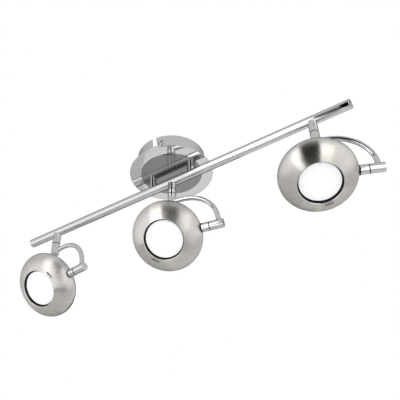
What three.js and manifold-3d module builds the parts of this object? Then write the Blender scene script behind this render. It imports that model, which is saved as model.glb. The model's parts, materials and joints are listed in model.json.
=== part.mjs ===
// Ceiling spot bar with three swivelling heads, in millimetres, +Z up.
// The origin is the middle of the mounting bracket's back face, which lies on the ceiling (z = 0).
// The bar runs along X. Each head hangs on a knuckle that swivels about Z, and tilts on a hub
// whose axis leaves the knuckle sideways. All pieces that touch keep a clearance of GAP.
import * as THREE from 'three';
import { mergeVertices } from 'three/addons/utils/BufferGeometryUtils.js';
import Module from 'manifold-3d';

const wasm = await Module();
wasm.setup();

// ---- Driving dimensions -------------------------------------------------------------------

const GAP = 0.3;

const BAR_RADIUS = 6;
const BAR_WALL = 1;
const BAR_LENGTH = 496;
const BAR_Z = -42.4;
const BAR_CAP_LENGTH = 2;
const BAR_CAP_PLUG = 8;
const BAR_CAP_BEVEL = 0.4;

const CUP_RADIUS = 45;
const CUP_WALL = 1;
const CUP_BACK_Z = -0.2;
const CUP_FRONT_Z = -26.9;
const CUP_BEVEL = 0.8;
const PLATE_RADIUS = 55;
const PLATE_THICKNESS = 1.4;
const PLATE_BEVEL = 0.4;
const INLAY_RADIUS = 40;
const INLAY_POCKET = 0.6;
const INLAY_THICKNESS = 1.1;
const INLAY_BEVEL = 0.2;

const BRACKET_LENGTH = 85;
const BRACKET_WIDTH = 16;
const BRACKET_SHEET = 1.5;
const BRACKET_EAR_WIDTH = 12;
const BRACKET_EAR_DEPTH = 17;
const BRACKET_ANGLE = -73;
const FIXING_SLOT_OFFSET = 24;
const FIXING_SLOT_LENGTH = 12;
const FIXING_SLOT_WIDTH = 5;

const SIDE_SCREW_Z = -12.5;
const SIDE_SCREW_RADIUS = 2;
const SIDE_SCREW_HEAD_RADIUS = 3.75;
const SIDE_SCREW_HEAD_HEIGHT = 2.4;
const SIDE_SCREW_BEVEL = 0.5;
const SCREW_RECESS_LENGTH = 4.2;
const SCREW_RECESS_WIDTH = 0.9;
const SCREW_RECESS_DEPTH = 1.2;
const SIDE_SCREW_INNER_END = 35;
const BAYONET_ENTRY_ANGLE = -86.3;
const BAYONET_ENTRY_WIDTH = 6.6;
const BAYONET_LEG_WIDTH = 4.4;

const POST_OFFSET = 30.5;
const POST_STEM_RADIUS = 4;
const POST_STEM_END_Z = -19.5;
const POST_NUT_RADIUS = 6.5;
const POST_NUT_HEIGHT = 4;
const WIRE_RADIUS = 1.2;
const WIRE_BORE = 2.2;
const WIRE_ABOVE_POST = 4;
const WIRE_INTO_PIN = 9;

const TERMINAL_LENGTH = 28;
const TERMINAL_WIDTH = 14;
const TERMINAL_HEIGHT = 12;
const TERMINAL_Y = -17;
const TERMINAL_PITCH = 9;
const TERMINAL_WELL_RADIUS = 2;
const TERMINAL_WAY_RADIUS = 1.8;
const TERMINAL_WAY_HEIGHT = 5;

const DRIVER_LENGTH = 50;
const DRIVER_WIDTH = 22;
const DRIVER_HEIGHT = 14.5;
const DRIVER_Y = 19;
const DRIVER_CORNER = 3;

const KNUCKLE_RADIUS = 5.5;
const KNUCKLE_SEAM_Z = -63.2;
const KNUCKLE_END_Z = -80;
const KNUCKLE_END_WALL = 1.5;
const KNUCKLE_BEVEL = 0.6;
const KNUCKLE_SHELF = 4.7;
const GRUB_HOLE_Z = -53;
const GRUB_HOLE_RADIUS = 1.1;
const GRUB_HOLE_DEPTH = 1.2;
const GRUB_HOLE_ANGLE = -62;
const PIN_RADIUS = 3;
const PIN_BORE = 1.6;
const PIN_HEAD_RADIUS = 4;
const PIN_HEAD_HEIGHT = 2.4;
const PIN_RUNNING_CLEARANCE = 0.08;
const PIN_TOP_Z = -52;
const COUNTERBORE_RADIUS = 4.4;

const HEAD_SPACING = 198.7;
const HEAD_OFFSET = -6.6;
const HUB_Z = -126.3;
const HUB_RADIUS = 5.5;
const HUB_INNER_START = 38.7;
const HUB_SEAM = 48.4;
const HUB_END = 65.8;
const HUB_END_WALL = 1.5;
const HUB_BEVEL = 0.5;
const HUB_SHELF = 4.6;
const WASHER_WIDTH = 4;
const WASHER_OVERHANG = 0.4;
const TILT_FLANGE_INSET = 7.6;
const TILT_FLANGE_RADIUS = 4.5;
const TILT_FLANGE_THICKNESS = 1.8;

const ARM_RADIUS = 3;
const ARM_BORE = 2;
const ARM_Z = -75;
const ARM_BEND = 45;
const ARM_END = 59.5;
const ARM_INTO_HUB = 2;

const SHELL_RADIUS = 44.5;
const SHELL_WALL = 1.2;
const FRONT_DEPTH = 23;
const BACK_DEPTH = 21;
const SPIGOT_CLEARANCE = 0.9;
const SPIGOT_HEIGHT = 3.5;
const OPENING_RADIUS = 25;
const LENS_RADIUS = 23.6;
const LENS_FRONT = 16;
const LENS_THICKNESS = 2.4;
const LENS_CROWN = 0.5;
const SLIT_LENGTH = 11;
const SLIT_WIDTH = 0.9;
const SLIT_FROM_OPENING = 3.8;
const SLIT_LOW_Z = 8;
const BEZEL_RADIUS = 26.8;
const BEZEL_FLOOR = 1.5;
const BEZEL_FLOOR_RADIUS = 21.5;
const BEZEL_CLEARANCE = 0.45;
const BOARD_RADIUS = 22;
const BOARD_THICKNESS = 1.6;
const BOARD_BEHIND_LENS = 4.5;
const CHIP_COUNT = 6;
const CHIP_SIZE = 3.5;
const CHIP_HEIGHT = 0.8;
const CHIP_RING_RADIUS = 13;
const SINK_RADIUS = 24;
const SINK_PLATE = 3;
const SINK_CORE_RADIUS = 7;
const SINK_END_Z = -12;
const FIN_COUNT = 8;
const FIN_LENGTH = 18;
const FIN_WIDTH = 1.4;
const FIN_MIDDLE_RADIUS = 14;

// Cutters run past the piece that they cut, and joined solids run into each other, by these.
const OVERRUN = 8;
const OVERLAP = 1;

// How many flat sides stand for a full turn, by the size of the round piece.
const CANOPY_SIDES = 32;
const SHELL_SIDES = 24;
const ROD_SIDES = 20;
const PIN_SIDES = 16;
const HOLE_SIDES = 8;
const HEX_SIDES = 6;
const ARM_SIDES = 8;
const ARM_STEPS = 12;

// swivel and tilt are the angles at which each head stands, in degrees. At swivel 0 the hub axis
// is parallel to the bar. At tilt 0 the lens looks level towards -Y, and at 90 straight down.
// slit is where the lens release slit has stopped, because the front shell is screwed on.
const HEADS = [
  { name: 'left', place: -1, swivel: -6.1, tilt: 41.5, slit: 20 },
  { name: 'middle', place: 0, swivel: 12.2, tilt: 46.8, slit: -129 },
  { name: 'right', place: 1, swivel: 23.1, tilt: 68.2, slit: -73.5 },
];

const TURN = Math.PI * 2;
const radians = (degrees) => THREE.MathUtils.degToRad(degrees);

// ---- Materials ----------------------------------------------------------------------------

const FINISHES = {
  chrome: [0xd4d6d8, 0.06, 1],
  satin_nickel: [0xb4afa8, 0.34, 1],
  satin_disc: [0x8b8c8e, 0.28, 1],
  zinc_steel: [0xa9adb0, 0.45, 1],
  aluminium: [0xc0c2c4, 0.5, 1],
  black_plastic: [0x0c0c0d, 0.6, 0],
  white_plastic: [0xe8e8e4, 0.5, 0],
  diffuser: [0xf6f6f4, 0.35, 0],
  board: [0xeef0ec, 0.5, 0],
  cable: [0xc8c8c6, 0.6, 0],
};

function finish(name) {
  const [color, roughness, metalness] = FINISHES[name];
  return new THREE.MeshStandardMaterial({ name, color, roughness, metalness });
}

// ---- Solids -------------------------------------------------------------------------------

function signedVolume(position, index) {
  const a = new THREE.Vector3();
  const b = new THREE.Vector3();
  const c = new THREE.Vector3();
  let total = 0;
  for (let i = 0; i < index.length; i += 3) {
    a.fromArray(position, index[i] * 3);
    b.fromArray(position, index[i + 1] * 3);
    c.fromArray(position, index[i + 2] * 3);
    total += a.dot(b.cross(c)) / 6;
  }
  return total;
}

// Turns a three.js geometry into a closed solid: welds its vertices, drops the triangles that
// collapse on an axis and turns the faces outwards.
function solid(geometry) {
  geometry.deleteAttribute('normal');
  geometry.deleteAttribute('uv');
  const welded = mergeVertices(geometry, 1e-4);
  const position = welded.attributes.position.array;
  const source = welded.index.array;
  const index = [];
  for (let i = 0; i < source.length; i += 3) {
    const [a, b, c] = [source[i], source[i + 1], source[i + 2]];
    if (a !== b && b !== c && a !== c) index.push(a, b, c);
  }
  if (signedVolume(position, index) < 0) index.reverse();
  const triVerts = Uint32Array.from(index);
  return new wasm.Manifold(new wasm.Mesh({ numProp: 3, vertProperties: position, triVerts }));
}

function piece(name, finishName, shape) {
  const mesh = shape.getMesh();
  const geometry = new THREE.BufferGeometry();
  geometry.setAttribute('position', new THREE.BufferAttribute(mesh.vertProperties, 3));
  geometry.setIndex(new THREE.BufferAttribute(mesh.triVerts, 1));
  geometry.computeVertexNormals();
  const node = new THREE.Mesh(geometry, finish(finishName));
  node.name = name;
  return node;
}

function cut(body, ...tools) {
  return tools.reduce((left, tool) => left.subtract(tool), body);
}

function join(body, ...others) {
  return others.reduce((left, other) => left.add(other), body);
}

// A solid of revolution about Z from a closed outline of [radius, z] points.
function revolve(outline, segments) {
  const points = outline.map(([radius, z]) => new THREE.Vector2(radius, z));
  const closed = outline[0][0] > 0;
  if (closed) points.push(points[0].clone());
  const geometry = new THREE.LatheGeometry(points, segments);
  geometry.rotateX(Math.PI / 2);
  return geometry;
}

// A cylinder along Z between two heights.
function rod(radius, low, high, segments = ROD_SIDES) {
  const geometry = new THREE.CylinderGeometry(radius, radius, high - low, segments);
  geometry.rotateX(Math.PI / 2);
  geometry.translate(0, 0, (low + high) / 2);
  return geometry;
}

// A cylinder along X between two stations, at height z.
function rodAlongX(radius, start, end, z = 0, segments = ROD_SIDES) {
  const geometry = rod(radius, start, end, segments);
  geometry.rotateY(Math.PI / 2);
  geometry.translate(0, 0, z);
  return geometry;
}

function block(sizeX, sizeY, lowZ, highZ, x = 0, y = 0) {
  const geometry = new THREE.BoxGeometry(sizeX, sizeY, highZ - lowZ);
  geometry.translate(x, y, (lowZ + highZ) / 2);
  return geometry;
}

function ellipseHeight(radius, halfWidth, depth) {
  return depth * Math.sqrt(Math.max(0, 1 - (radius / halfWidth) ** 2));
}

// Points of an ellipse arc from its rim (station 0) to its crown (station 1).
function ellipseArc(halfWidth, depth, fromStation, toStation, steps) {
  const points = [];
  for (let i = 0; i <= steps; i += 1) {
    const angle = (Math.PI / 2) * (fromStation + ((toStation - fromStation) * i) / steps);
    points.push([halfWidth * Math.cos(angle), depth * Math.sin(angle)]);
  }
  return points;
}

// ---- Ceiling bracket and its side screws ---------------------------------------------------

// A slot along X with round ends, through the strap.
function slotCutter(centre) {
  const half = FIXING_SLOT_LENGTH / 2 - FIXING_SLOT_WIDTH / 2;
  const width = FIXING_SLOT_WIDTH / 2;
  const shape = new THREE.Shape();
  shape.absarc(centre + half, 0, width, -Math.PI / 2, Math.PI / 2, false);
  shape.absarc(centre - half, 0, width, Math.PI / 2, Math.PI * 1.5, false);
  const depth = BRACKET_SHEET * 3;
  const geometry = new THREE.ExtrudeGeometry(shape, { depth, bevelEnabled: false, curveSegments: 6 });
  geometry.translate(0, 0, -BRACKET_SHEET * 2);
  return solid(geometry);
}

function bracket() {
  const half = BRACKET_LENGTH / 2;
  const earCentre = half - BRACKET_SHEET / 2;
  const strap = solid(block(BRACKET_LENGTH, BRACKET_WIDTH, -BRACKET_SHEET, 0));
  const ears = [-1, 1].map((side) => solid(
    block(BRACKET_SHEET, BRACKET_EAR_WIDTH, -BRACKET_EAR_DEPTH, -BRACKET_SHEET / 2, side * earCentre),
  ));
  const reach = half + OVERLAP;
  const screwHole = rodAlongX(SIDE_SCREW_RADIUS + GAP, -reach, reach, SIDE_SCREW_Z, HOLE_SIDES);
  const slots = [slotCutter(-FIXING_SLOT_OFFSET), slotCutter(FIXING_SLOT_OFFSET)];
  return piece('mounting_bracket', 'zinc_steel', cut(join(strap, ...ears), solid(screwHole), ...slots));
}

// The screw lies along +X; its head bears on the outside of the canopy wall.
function sideScrew(name) {
  const headStart = CUP_RADIUS + GAP;
  const headEnd = headStart + SIDE_SCREW_HEAD_HEIGHT;
  const outline = [
    [0, SIDE_SCREW_INNER_END],
    [SIDE_SCREW_RADIUS, SIDE_SCREW_INNER_END],
    [SIDE_SCREW_RADIUS, headStart],
    [SIDE_SCREW_HEAD_RADIUS, headStart],
    [SIDE_SCREW_HEAD_RADIUS, headEnd - SIDE_SCREW_BEVEL],
    [SIDE_SCREW_HEAD_RADIUS - SIDE_SCREW_BEVEL, headEnd],
    [0, headEnd],
  ];
  const shank = revolve(outline, PIN_SIDES);
  shank.rotateY(Math.PI / 2);
  const recess = [0, TURN / 4].map((turn) => {
    const bar = new THREE.BoxGeometry(2 * SCREW_RECESS_DEPTH, SCREW_RECESS_LENGTH, SCREW_RECESS_WIDTH);
    bar.rotateX(turn);
    bar.translate(headEnd, 0, 0);
    return solid(bar);
  });
  const screw = piece(name, 'zinc_steel', cut(solid(shank), ...recess));
  screw.position.z = SIDE_SCREW_Z;
  return screw;
}

function bracketGroup() {
  const group = new THREE.Group();
  group.rotation.z = radians(BRACKET_ANGLE);
  const back = new THREE.Group();
  back.rotation.z = Math.PI;
  back.add(sideScrew('canopy_screw_back'));
  group.add(bracket(), sideScrew('canopy_screw_front'), back);
  return group;
}

// ---- Canopy ---------------------------------------------------------------------------------

// The L-shaped slot in the canopy wall: in from the back edge, then along to the screw.
function bayonetCutters() {
  const legFrontZ = SIDE_SCREW_Z - BAYONET_LEG_WIDTH / 2;
  const legBackZ = SIDE_SCREW_Z + BAYONET_LEG_WIDTH / 2;
  const reach = 2 * OVERRUN;
  const entry = block(reach, BAYONET_ENTRY_WIDTH, legFrontZ, OVERLAP, CUP_RADIUS);
  const legLength = CUP_RADIUS * radians(BRACKET_ANGLE - BAYONET_ENTRY_ANGLE) + BAYONET_ENTRY_WIDTH / 2;
  const legEnd = legLength + BAYONET_LEG_WIDTH / 2;
  const leg = block(reach, legEnd, legFrontZ, legBackZ, CUP_RADIUS, legEnd / 2 - BAYONET_ENTRY_WIDTH / 2);
  return [entry, leg];
}

function canopyCup() {
  const inner = CUP_RADIUS - CUP_WALL;
  const floor = CUP_FRONT_Z + CUP_WALL;
  const outline = [
    [0, floor], [inner, floor], [inner, CUP_BACK_Z],
    [CUP_RADIUS, CUP_BACK_Z], [CUP_RADIUS, CUP_FRONT_Z + CUP_BEVEL], [CUP_RADIUS - CUP_BEVEL, CUP_FRONT_Z],
    [0, CUP_FRONT_Z],
  ];
  const slots = [0, 180].flatMap((half) => bayonetCutters().map((geometry) => {
    geometry.rotateZ(radians(BAYONET_ENTRY_ANGLE + half));
    return solid(geometry);
  }));
  const shell = solid(revolve(outline, CANOPY_SIDES));
  return piece('canopy_cup', 'chrome', cut(shell, ...slots, ...stemHoles()));
}

function stemHoles() {
  return [-1, 1].map((side) => {
    const hole = rod(POST_STEM_RADIUS + GAP, CUP_FRONT_Z - OVERRUN, CUP_FRONT_Z + OVERRUN, PIN_SIDES);
    hole.translate(side * POST_OFFSET, 0, 0);
    return solid(hole);
  });
}

const PLATE_BACK_Z = CUP_FRONT_Z - GAP;
const PLATE_FRONT_Z = PLATE_BACK_Z - PLATE_THICKNESS;
const INLAY_BACK_Z = PLATE_FRONT_Z + INLAY_POCKET - GAP;
const INLAY_FRONT_Z = INLAY_BACK_Z - INLAY_THICKNESS;

function canopyPlate() {
  const pocket = INLAY_RADIUS + GAP;
  const outline = [
    [0, PLATE_BACK_Z], [PLATE_RADIUS - PLATE_BEVEL, PLATE_BACK_Z],
    [PLATE_RADIUS, PLATE_BACK_Z - PLATE_BEVEL], [PLATE_RADIUS, PLATE_FRONT_Z + PLATE_BEVEL],
    [PLATE_RADIUS - PLATE_BEVEL, PLATE_FRONT_Z], [pocket, PLATE_FRONT_Z],
    [pocket, PLATE_FRONT_Z + INLAY_POCKET], [0, PLATE_FRONT_Z + INLAY_POCKET],
  ];
  return piece('canopy_plate', 'chrome', cut(solid(revolve(outline, CANOPY_SIDES)), ...stemHoles()));
}

function canopyInlay() {
  const outline = [
    [0, INLAY_BACK_Z], [INLAY_RADIUS, INLAY_BACK_Z], [INLAY_RADIUS, INLAY_FRONT_Z + INLAY_BEVEL],
    [INLAY_RADIUS - INLAY_BEVEL, INLAY_FRONT_Z], [0, INLAY_FRONT_Z],
  ];
  return piece('canopy_inlay', 'satin_disc', cut(solid(revolve(outline, CANOPY_SIDES)), ...stemHoles()));
}

// ---- Electrical parts in the canopy ---------------------------------------------------------

const CANOPY_FLOOR_Z = CUP_FRONT_Z + CUP_WALL + GAP;

function terminalBlock() {
  const top = CANOPY_FLOOR_Z + TERMINAL_HEIGHT;
  const wayZ = CANOPY_FLOOR_Z + TERMINAL_WAY_HEIGHT;
  const body = solid(block(TERMINAL_LENGTH, TERMINAL_WIDTH, CANOPY_FLOOR_Z, top, 0, TERMINAL_Y));
  const holes = [-TERMINAL_PITCH, 0, TERMINAL_PITCH].flatMap((x) => {
    const screwWell = rod(TERMINAL_WELL_RADIUS, wayZ, top + OVERLAP, HOLE_SIDES);
    screwWell.translate(x, TERMINAL_Y, 0);
    const wireWay = rod(TERMINAL_WAY_RADIUS, -TERMINAL_WIDTH, TERMINAL_WIDTH, HOLE_SIDES);
    wireWay.rotateX(Math.PI / 2);
    wireWay.translate(x, TERMINAL_Y, wayZ);
    return [solid(screwWell), solid(wireWay)];
  });
  return piece('terminal_block', 'white_plastic', cut(body, ...holes));
}

function ledDriver() {
  const x = DRIVER_LENGTH / 2 - DRIVER_CORNER;
  const y = DRIVER_WIDTH / 2 - DRIVER_CORNER;
  const shape = new THREE.Shape();
  [[x, y], [-x, y], [-x, -y], [x, -y]].forEach(([cornerX, cornerY], quarter) => {
    const start = (TURN / 4) * quarter;
    shape.absarc(cornerX, cornerY, DRIVER_CORNER, start, start + TURN / 4, false);
  });
  const options = { depth: DRIVER_HEIGHT, bevelEnabled: false, curveSegments: 3 };
  const geometry = new THREE.ExtrudeGeometry(shape, options);
  geometry.translate(0, DRIVER_Y, CANOPY_FLOOR_Z);
  return piece('led_driver', 'white_plastic', solid(geometry));
}

// ---- Posts, bar, caps and wiring ------------------------------------------------------------

// The space that the bar takes, with the clearance, used to saddle the posts and knuckles.
function barSaddle() {
  return solid(rodAlongX(BAR_RADIUS + GAP, -BAR_LENGTH, BAR_LENGTH, BAR_Z, ROD_SIDES));
}

function post(name, side) {
  const shoulder = INLAY_FRONT_Z - GAP;
  const outline = [
    [WIRE_BORE, BAR_Z], [KNUCKLE_RADIUS, BAR_Z], [KNUCKLE_RADIUS, shoulder],
    [POST_STEM_RADIUS, shoulder], [POST_STEM_RADIUS, POST_STEM_END_Z], [WIRE_BORE, POST_STEM_END_Z],
  ];
  const geometry = revolve(outline, ROD_SIDES);
  geometry.translate(side * POST_OFFSET, 0, 0);
  return piece(name, 'chrome', cut(solid(geometry), barSaddle()));
}

function postNut(name, side) {
  const top = CANOPY_FLOOR_Z + POST_NUT_HEIGHT;
  const nut = rod(POST_NUT_RADIUS, CANOPY_FLOOR_Z, top, HEX_SIDES);
  const bore = rod(POST_STEM_RADIUS + GAP, CANOPY_FLOOR_Z - OVERLAP, top + OVERLAP, PIN_SIDES);
  nut.translate(side * POST_OFFSET, 0, 0);
  bore.translate(side * POST_OFFSET, 0, 0);
  return piece(name, 'zinc_steel', cut(solid(nut), solid(bore)));
}

function barTube() {
  const half = BAR_LENGTH / 2 - BAR_CAP_LENGTH - GAP;
  const inner = BAR_RADIUS - BAR_WALL;
  const tube = solid(rodAlongX(BAR_RADIUS, -half, half, BAR_Z));
  const bore = solid(rodAlongX(inner, -half - OVERLAP, half + OVERLAP, BAR_Z, PIN_SIDES));
  const upwards = [-1, 1].map((side) => (
    rod(WIRE_BORE, BAR_Z, BAR_Z + OVERRUN, HOLE_SIDES).translate(side * POST_OFFSET, 0, 0)
  ));
  const downwards = HEADS.map((head) => (
    rod(WIRE_BORE, BAR_Z - OVERRUN, BAR_Z, HOLE_SIDES).translate(head.place * HEAD_SPACING, 0, 0)
  ));
  return piece('bar_tube', 'chrome', cut(tube, bore, ...[...upwards, ...downwards].map(solid)));
}

function barCap(name, side) {
  const end = BAR_LENGTH / 2;
  const rim = end - BAR_CAP_LENGTH;
  const plug = BAR_RADIUS - BAR_WALL - GAP;
  const outline = [
    [0, rim - BAR_CAP_PLUG], [plug, rim - BAR_CAP_PLUG], [plug, rim], [BAR_RADIUS, rim],
    [BAR_RADIUS, end - BAR_CAP_BEVEL], [BAR_RADIUS - BAR_CAP_BEVEL, end], [0, end],
  ];
  const geometry = revolve(outline, ROD_SIDES);
  geometry.rotateY((side * Math.PI) / 2);
  geometry.translate(0, 0, BAR_Z);
  return piece(name, 'chrome', solid(geometry));
}

// One loom: along the bar, up through both posts and down into each knuckle.
function barWiring() {
  const run = solid(rodAlongX(WIRE_RADIUS, -HEAD_SPACING, HEAD_SPACING, BAR_Z, HOLE_SIDES));
  const risersEnd = POST_STEM_END_Z + WIRE_ABOVE_POST;
  const dropsEnd = KNUCKLE_SEAM_Z - WIRE_INTO_PIN;
  const risers = [-1, 1].map((side) => solid(
    rod(WIRE_RADIUS, BAR_Z, risersEnd, HOLE_SIDES).translate(side * POST_OFFSET, 0, 0),
  ));
  const drops = HEADS.map((head) => solid(
    rod(WIRE_RADIUS, dropsEnd, BAR_Z, HOLE_SIDES).translate(head.place * HEAD_SPACING, 0, 0),
  ));
  return piece('bar_wiring', 'cable', join(run, ...risers, ...drops));
}

// ---- Knuckles ---------------------------------------------------------------------------------

function knuckleBase(head) {
  const low = KNUCKLE_SEAM_Z + GAP / 2;
  const high = BAR_Z - OVERLAP;
  const pinSeat = PIN_RADIUS + GAP;
  const outline = [
    [pinSeat, low], [KNUCKLE_RADIUS, low], [KNUCKLE_RADIUS, high],
    [WIRE_BORE, high], [WIRE_BORE, PIN_TOP_Z + GAP], [pinSeat, PIN_TOP_Z + GAP],
  ];
  const geometry = revolve(outline, ROD_SIDES);
  const grubStart = KNUCKLE_RADIUS - GRUB_HOLE_DEPTH;
  const grub = rodAlongX(GRUB_HOLE_RADIUS, grubStart, KNUCKLE_RADIUS + OVERLAP, 0, HOLE_SIDES);
  grub.rotateZ(radians(GRUB_HOLE_ANGLE));
  grub.translate(0, 0, GRUB_HOLE_Z);
  const stub = piece(`knuckle_base_${head.name}`, 'chrome', cut(solid(geometry), barSaddle(), solid(grub)));
  stub.position.x = head.place * HEAD_SPACING;
  return stub;
}

// The shelf that the head of the swivel pin bears under.
const SHELF_Z = KNUCKLE_SEAM_Z - KNUCKLE_SHELF;

function swivelPin(head) {
  const headTop = SHELF_Z - GAP;
  const end = headTop - PIN_HEAD_HEIGHT;
  const outline = [
    [PIN_BORE, end], [PIN_HEAD_RADIUS, end], [PIN_HEAD_RADIUS, headTop],
    [PIN_RADIUS, headTop], [PIN_RADIUS, PIN_TOP_Z], [PIN_BORE, PIN_TOP_Z],
  ];
  const pin = piece(`swivel_pin_${head.name}`, 'zinc_steel', solid(revolve(outline, PIN_SIDES)));
  pin.position.x = head.place * HEAD_SPACING;
  return pin;
}

// A cup with a closed end, which hides the head of the swivel pin.
function knuckleSwivel(head) {
  const top = KNUCKLE_SEAM_Z - GAP / 2;
  const floor = KNUCKLE_END_Z + KNUCKLE_END_WALL;
  const running = PIN_RADIUS + PIN_RUNNING_CLEARANCE;
  const outline = [
    [running, top], [KNUCKLE_RADIUS, top], [KNUCKLE_RADIUS, KNUCKLE_END_Z + KNUCKLE_BEVEL],
    [KNUCKLE_RADIUS - KNUCKLE_BEVEL, KNUCKLE_END_Z], [0, KNUCKLE_END_Z], [0, floor],
    [COUNTERBORE_RADIUS, floor], [COUNTERBORE_RADIUS, SHELF_Z], [running, SHELF_Z],
  ];
  const wireHole = solid(rodAlongX(PIN_BORE, 0, KNUCKLE_RADIUS + OVERLAP, ARM_Z, HOLE_SIDES));
  const body = cut(solid(revolve(outline, PIN_SIDES)), wireHole);
  return piece(`knuckle_swivel_${head.name}`, 'chrome', body);
}

// ---- Arm and outer hub, in the frame of the swivelling body (X towards the hub) -----------------

class ArmCurve extends THREE.Curve {
  // A straight start, a quarter circle and a short straight end, walked at constant speed.
  getPoint(station, target = new THREE.Vector3()) {
    const straight = ARM_END - ARM_BEND;
    const bend = (Math.PI / 2) * ARM_BEND;
    const drop = ARM_Z - ARM_BEND - (HUB_Z + ARM_INTO_HUB);
    const travelled = station * (straight + bend + drop);
    if (travelled <= straight) return target.set(travelled, 0, ARM_Z);
    if (travelled <= straight + bend) {
      const angle = (travelled - straight) / ARM_BEND;
      const x = straight + ARM_BEND * Math.sin(angle);
      return target.set(x, 0, ARM_Z - ARM_BEND * (1 - Math.cos(angle)));
    }
    return target.set(ARM_END, 0, ARM_Z - ARM_BEND - (travelled - straight - bend));
  }
}

function sweptRod(radius, sides) {
  const section = new THREE.Shape();
  for (let i = 0; i < sides; i += 1) {
    const angle = (TURN * i) / sides;
    const [x, y] = [radius * Math.cos(angle), radius * Math.sin(angle)];
    if (i === 0) section.moveTo(x, y);
    else section.lineTo(x, y);
  }
  section.closePath();
  return new THREE.ExtrudeGeometry(section, { steps: ARM_STEPS, extrudePath: new ArmCurve() });
}

function arm(head) {
  const tube = cut(solid(sweptRod(ARM_RADIUS, ARM_SIDES)), solid(sweptRod(ARM_BORE, ARM_SIDES)));
  const knuckleSpace = solid(rod(KNUCKLE_RADIUS + GAP, KNUCKLE_END_Z - OVERRUN, KNUCKLE_SEAM_Z, PIN_SIDES));
  const hubSpace = solid(rodAlongX(HUB_RADIUS + GAP, HUB_SEAM, HUB_END + OVERRUN, HUB_Z, PIN_SIDES));
  return piece(`arm_${head.name}`, 'chrome', cut(tube, knuckleSpace, hubSpace));
}

const HUB_COUNTERBORE_START = HUB_SEAM + HUB_SHELF;

function hubOuter(head) {
  const start = HUB_SEAM + GAP / 2;
  const running = PIN_RADIUS + PIN_RUNNING_CLEARANCE;
  const floor = HUB_END - HUB_END_WALL;
  const outline = [
    [running, start], [HUB_RADIUS, start], [HUB_RADIUS, HUB_END - HUB_BEVEL],
    [HUB_RADIUS - HUB_BEVEL, HUB_END], [0, HUB_END], [0, floor], [COUNTERBORE_RADIUS, floor],
    [COUNTERBORE_RADIUS, HUB_COUNTERBORE_START], [running, HUB_COUNTERBORE_START],
  ];
  const geometry = revolve(outline, PIN_SIDES);
  geometry.rotateY(Math.PI / 2);
  geometry.translate(0, 0, HUB_Z);
  const wireHole = rod(PIN_BORE, HUB_Z, HUB_Z + HUB_RADIUS + OVERLAP, HOLE_SIDES);
  wireHole.translate(ARM_END, 0, 0);
  return piece(`hub_outer_${head.name}`, 'chrome', cut(solid(geometry), solid(wireHole)));
}

// ---- Head, in its own frame: Z out of the lens, X along the hub axis, centre of the rim at 0 ----

// From the knuckle axis to the head's own X.
const alongHead = (fromKnuckle) => fromKnuckle - HEAD_OFFSET;

function turnedAlongX(outline) {
  return revolve(outline, PIN_SIDES).rotateY(Math.PI / 2);
}

function hubInner(head) {
  const [start, end] = [alongHead(HUB_INNER_START), alongHead(HUB_SEAM) - GAP / 2];
  const seat = PIN_RADIUS + GAP;
  const outline = [[seat, start], [HUB_RADIUS, start], [HUB_RADIUS, end], [seat, end]];
  return piece(`hub_inner_${head.name}`, 'chrome', solid(turnedAlongX(outline)));
}

function tiltPin(head) {
  const flangeStart = SHELL_RADIUS - TILT_FLANGE_INSET;
  const flangeEnd = flangeStart + TILT_FLANGE_THICKNESS;
  const nutStart = alongHead(HUB_COUNTERBORE_START) + GAP;
  const nutEnd = nutStart + TILT_FLANGE_THICKNESS;
  const outline = [
    [PIN_BORE, flangeStart], [TILT_FLANGE_RADIUS, flangeStart], [TILT_FLANGE_RADIUS, flangeEnd],
    [PIN_RADIUS, flangeEnd], [PIN_RADIUS, nutStart], [PIN_HEAD_RADIUS, nutStart],
    [PIN_HEAD_RADIUS, nutEnd], [PIN_BORE, nutEnd],
  ];
  return piece(`tilt_pin_${head.name}`, 'zinc_steel', solid(turnedAlongX(outline)));
}

// The outside of both shells, grown by the clearance.
function shellEnvelope() {
  const steps = 10;
  const front = ellipseArc(SHELL_RADIUS + GAP, FRONT_DEPTH + GAP, 0, 1, steps);
  const back = ellipseArc(SHELL_RADIUS + GAP, -(BACK_DEPTH + GAP), 0, 1, steps);
  const outline = [...back.reverse(), ...front.slice(1)];
  outline[0][0] = 0;
  outline[outline.length - 1][0] = 0;
  return solid(revolve(outline, SHELL_SIDES));
}

function hubWasher(head) {
  const end = alongHead(HUB_INNER_START) - GAP;
  const start = end - WASHER_WIDTH;
  const seat = PIN_RADIUS + GAP;
  const radius = HUB_RADIUS + WASHER_OVERHANG;
  const ring = solid(turnedAlongX([[seat, start], [radius, start], [radius, end], [seat, end]]));
  return piece(`hub_washer_${head.name}`, 'black_plastic', cut(ring, shellEnvelope()));
}

function pinHole() {
  return solid(rodAlongX(PIN_RADIUS + GAP, SHELL_RADIUS - OVERRUN, SHELL_RADIUS + OVERRUN, 0, PIN_SIDES));
}

const openingStation = (radius, halfWidth) => Math.acos(radius / halfWidth) / (Math.PI / 2);

function headFront(head) {
  const innerRadius = SHELL_RADIUS - SHELL_WALL;
  const innerDepth = FRONT_DEPTH - SHELL_WALL;
  const lift = GAP / 2;
  const outer = ellipseArc(SHELL_RADIUS, FRONT_DEPTH, 0, openingStation(OPENING_RADIUS, SHELL_RADIUS), 5);
  const inner = ellipseArc(innerRadius, innerDepth, 0, openingStation(OPENING_RADIUS, innerRadius), 4);
  outer[0][1] = lift;
  inner[0][1] = lift;
  const shell = solid(revolve([...outer, ...inner.reverse()], SHELL_SIDES));
  const slitRadius = OPENING_RADIUS + SLIT_FROM_OPENING;
  const slit = block(SLIT_LENGTH, SLIT_WIDTH, SLIT_LOW_Z, FRONT_DEPTH + OVERLAP, 0, slitRadius);
  slit.rotateZ(radians(head.slit - 90));
  return piece(`head_front_${head.name}`, 'satin_nickel', cut(shell, pinHole(), solid(slit)));
}

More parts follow.
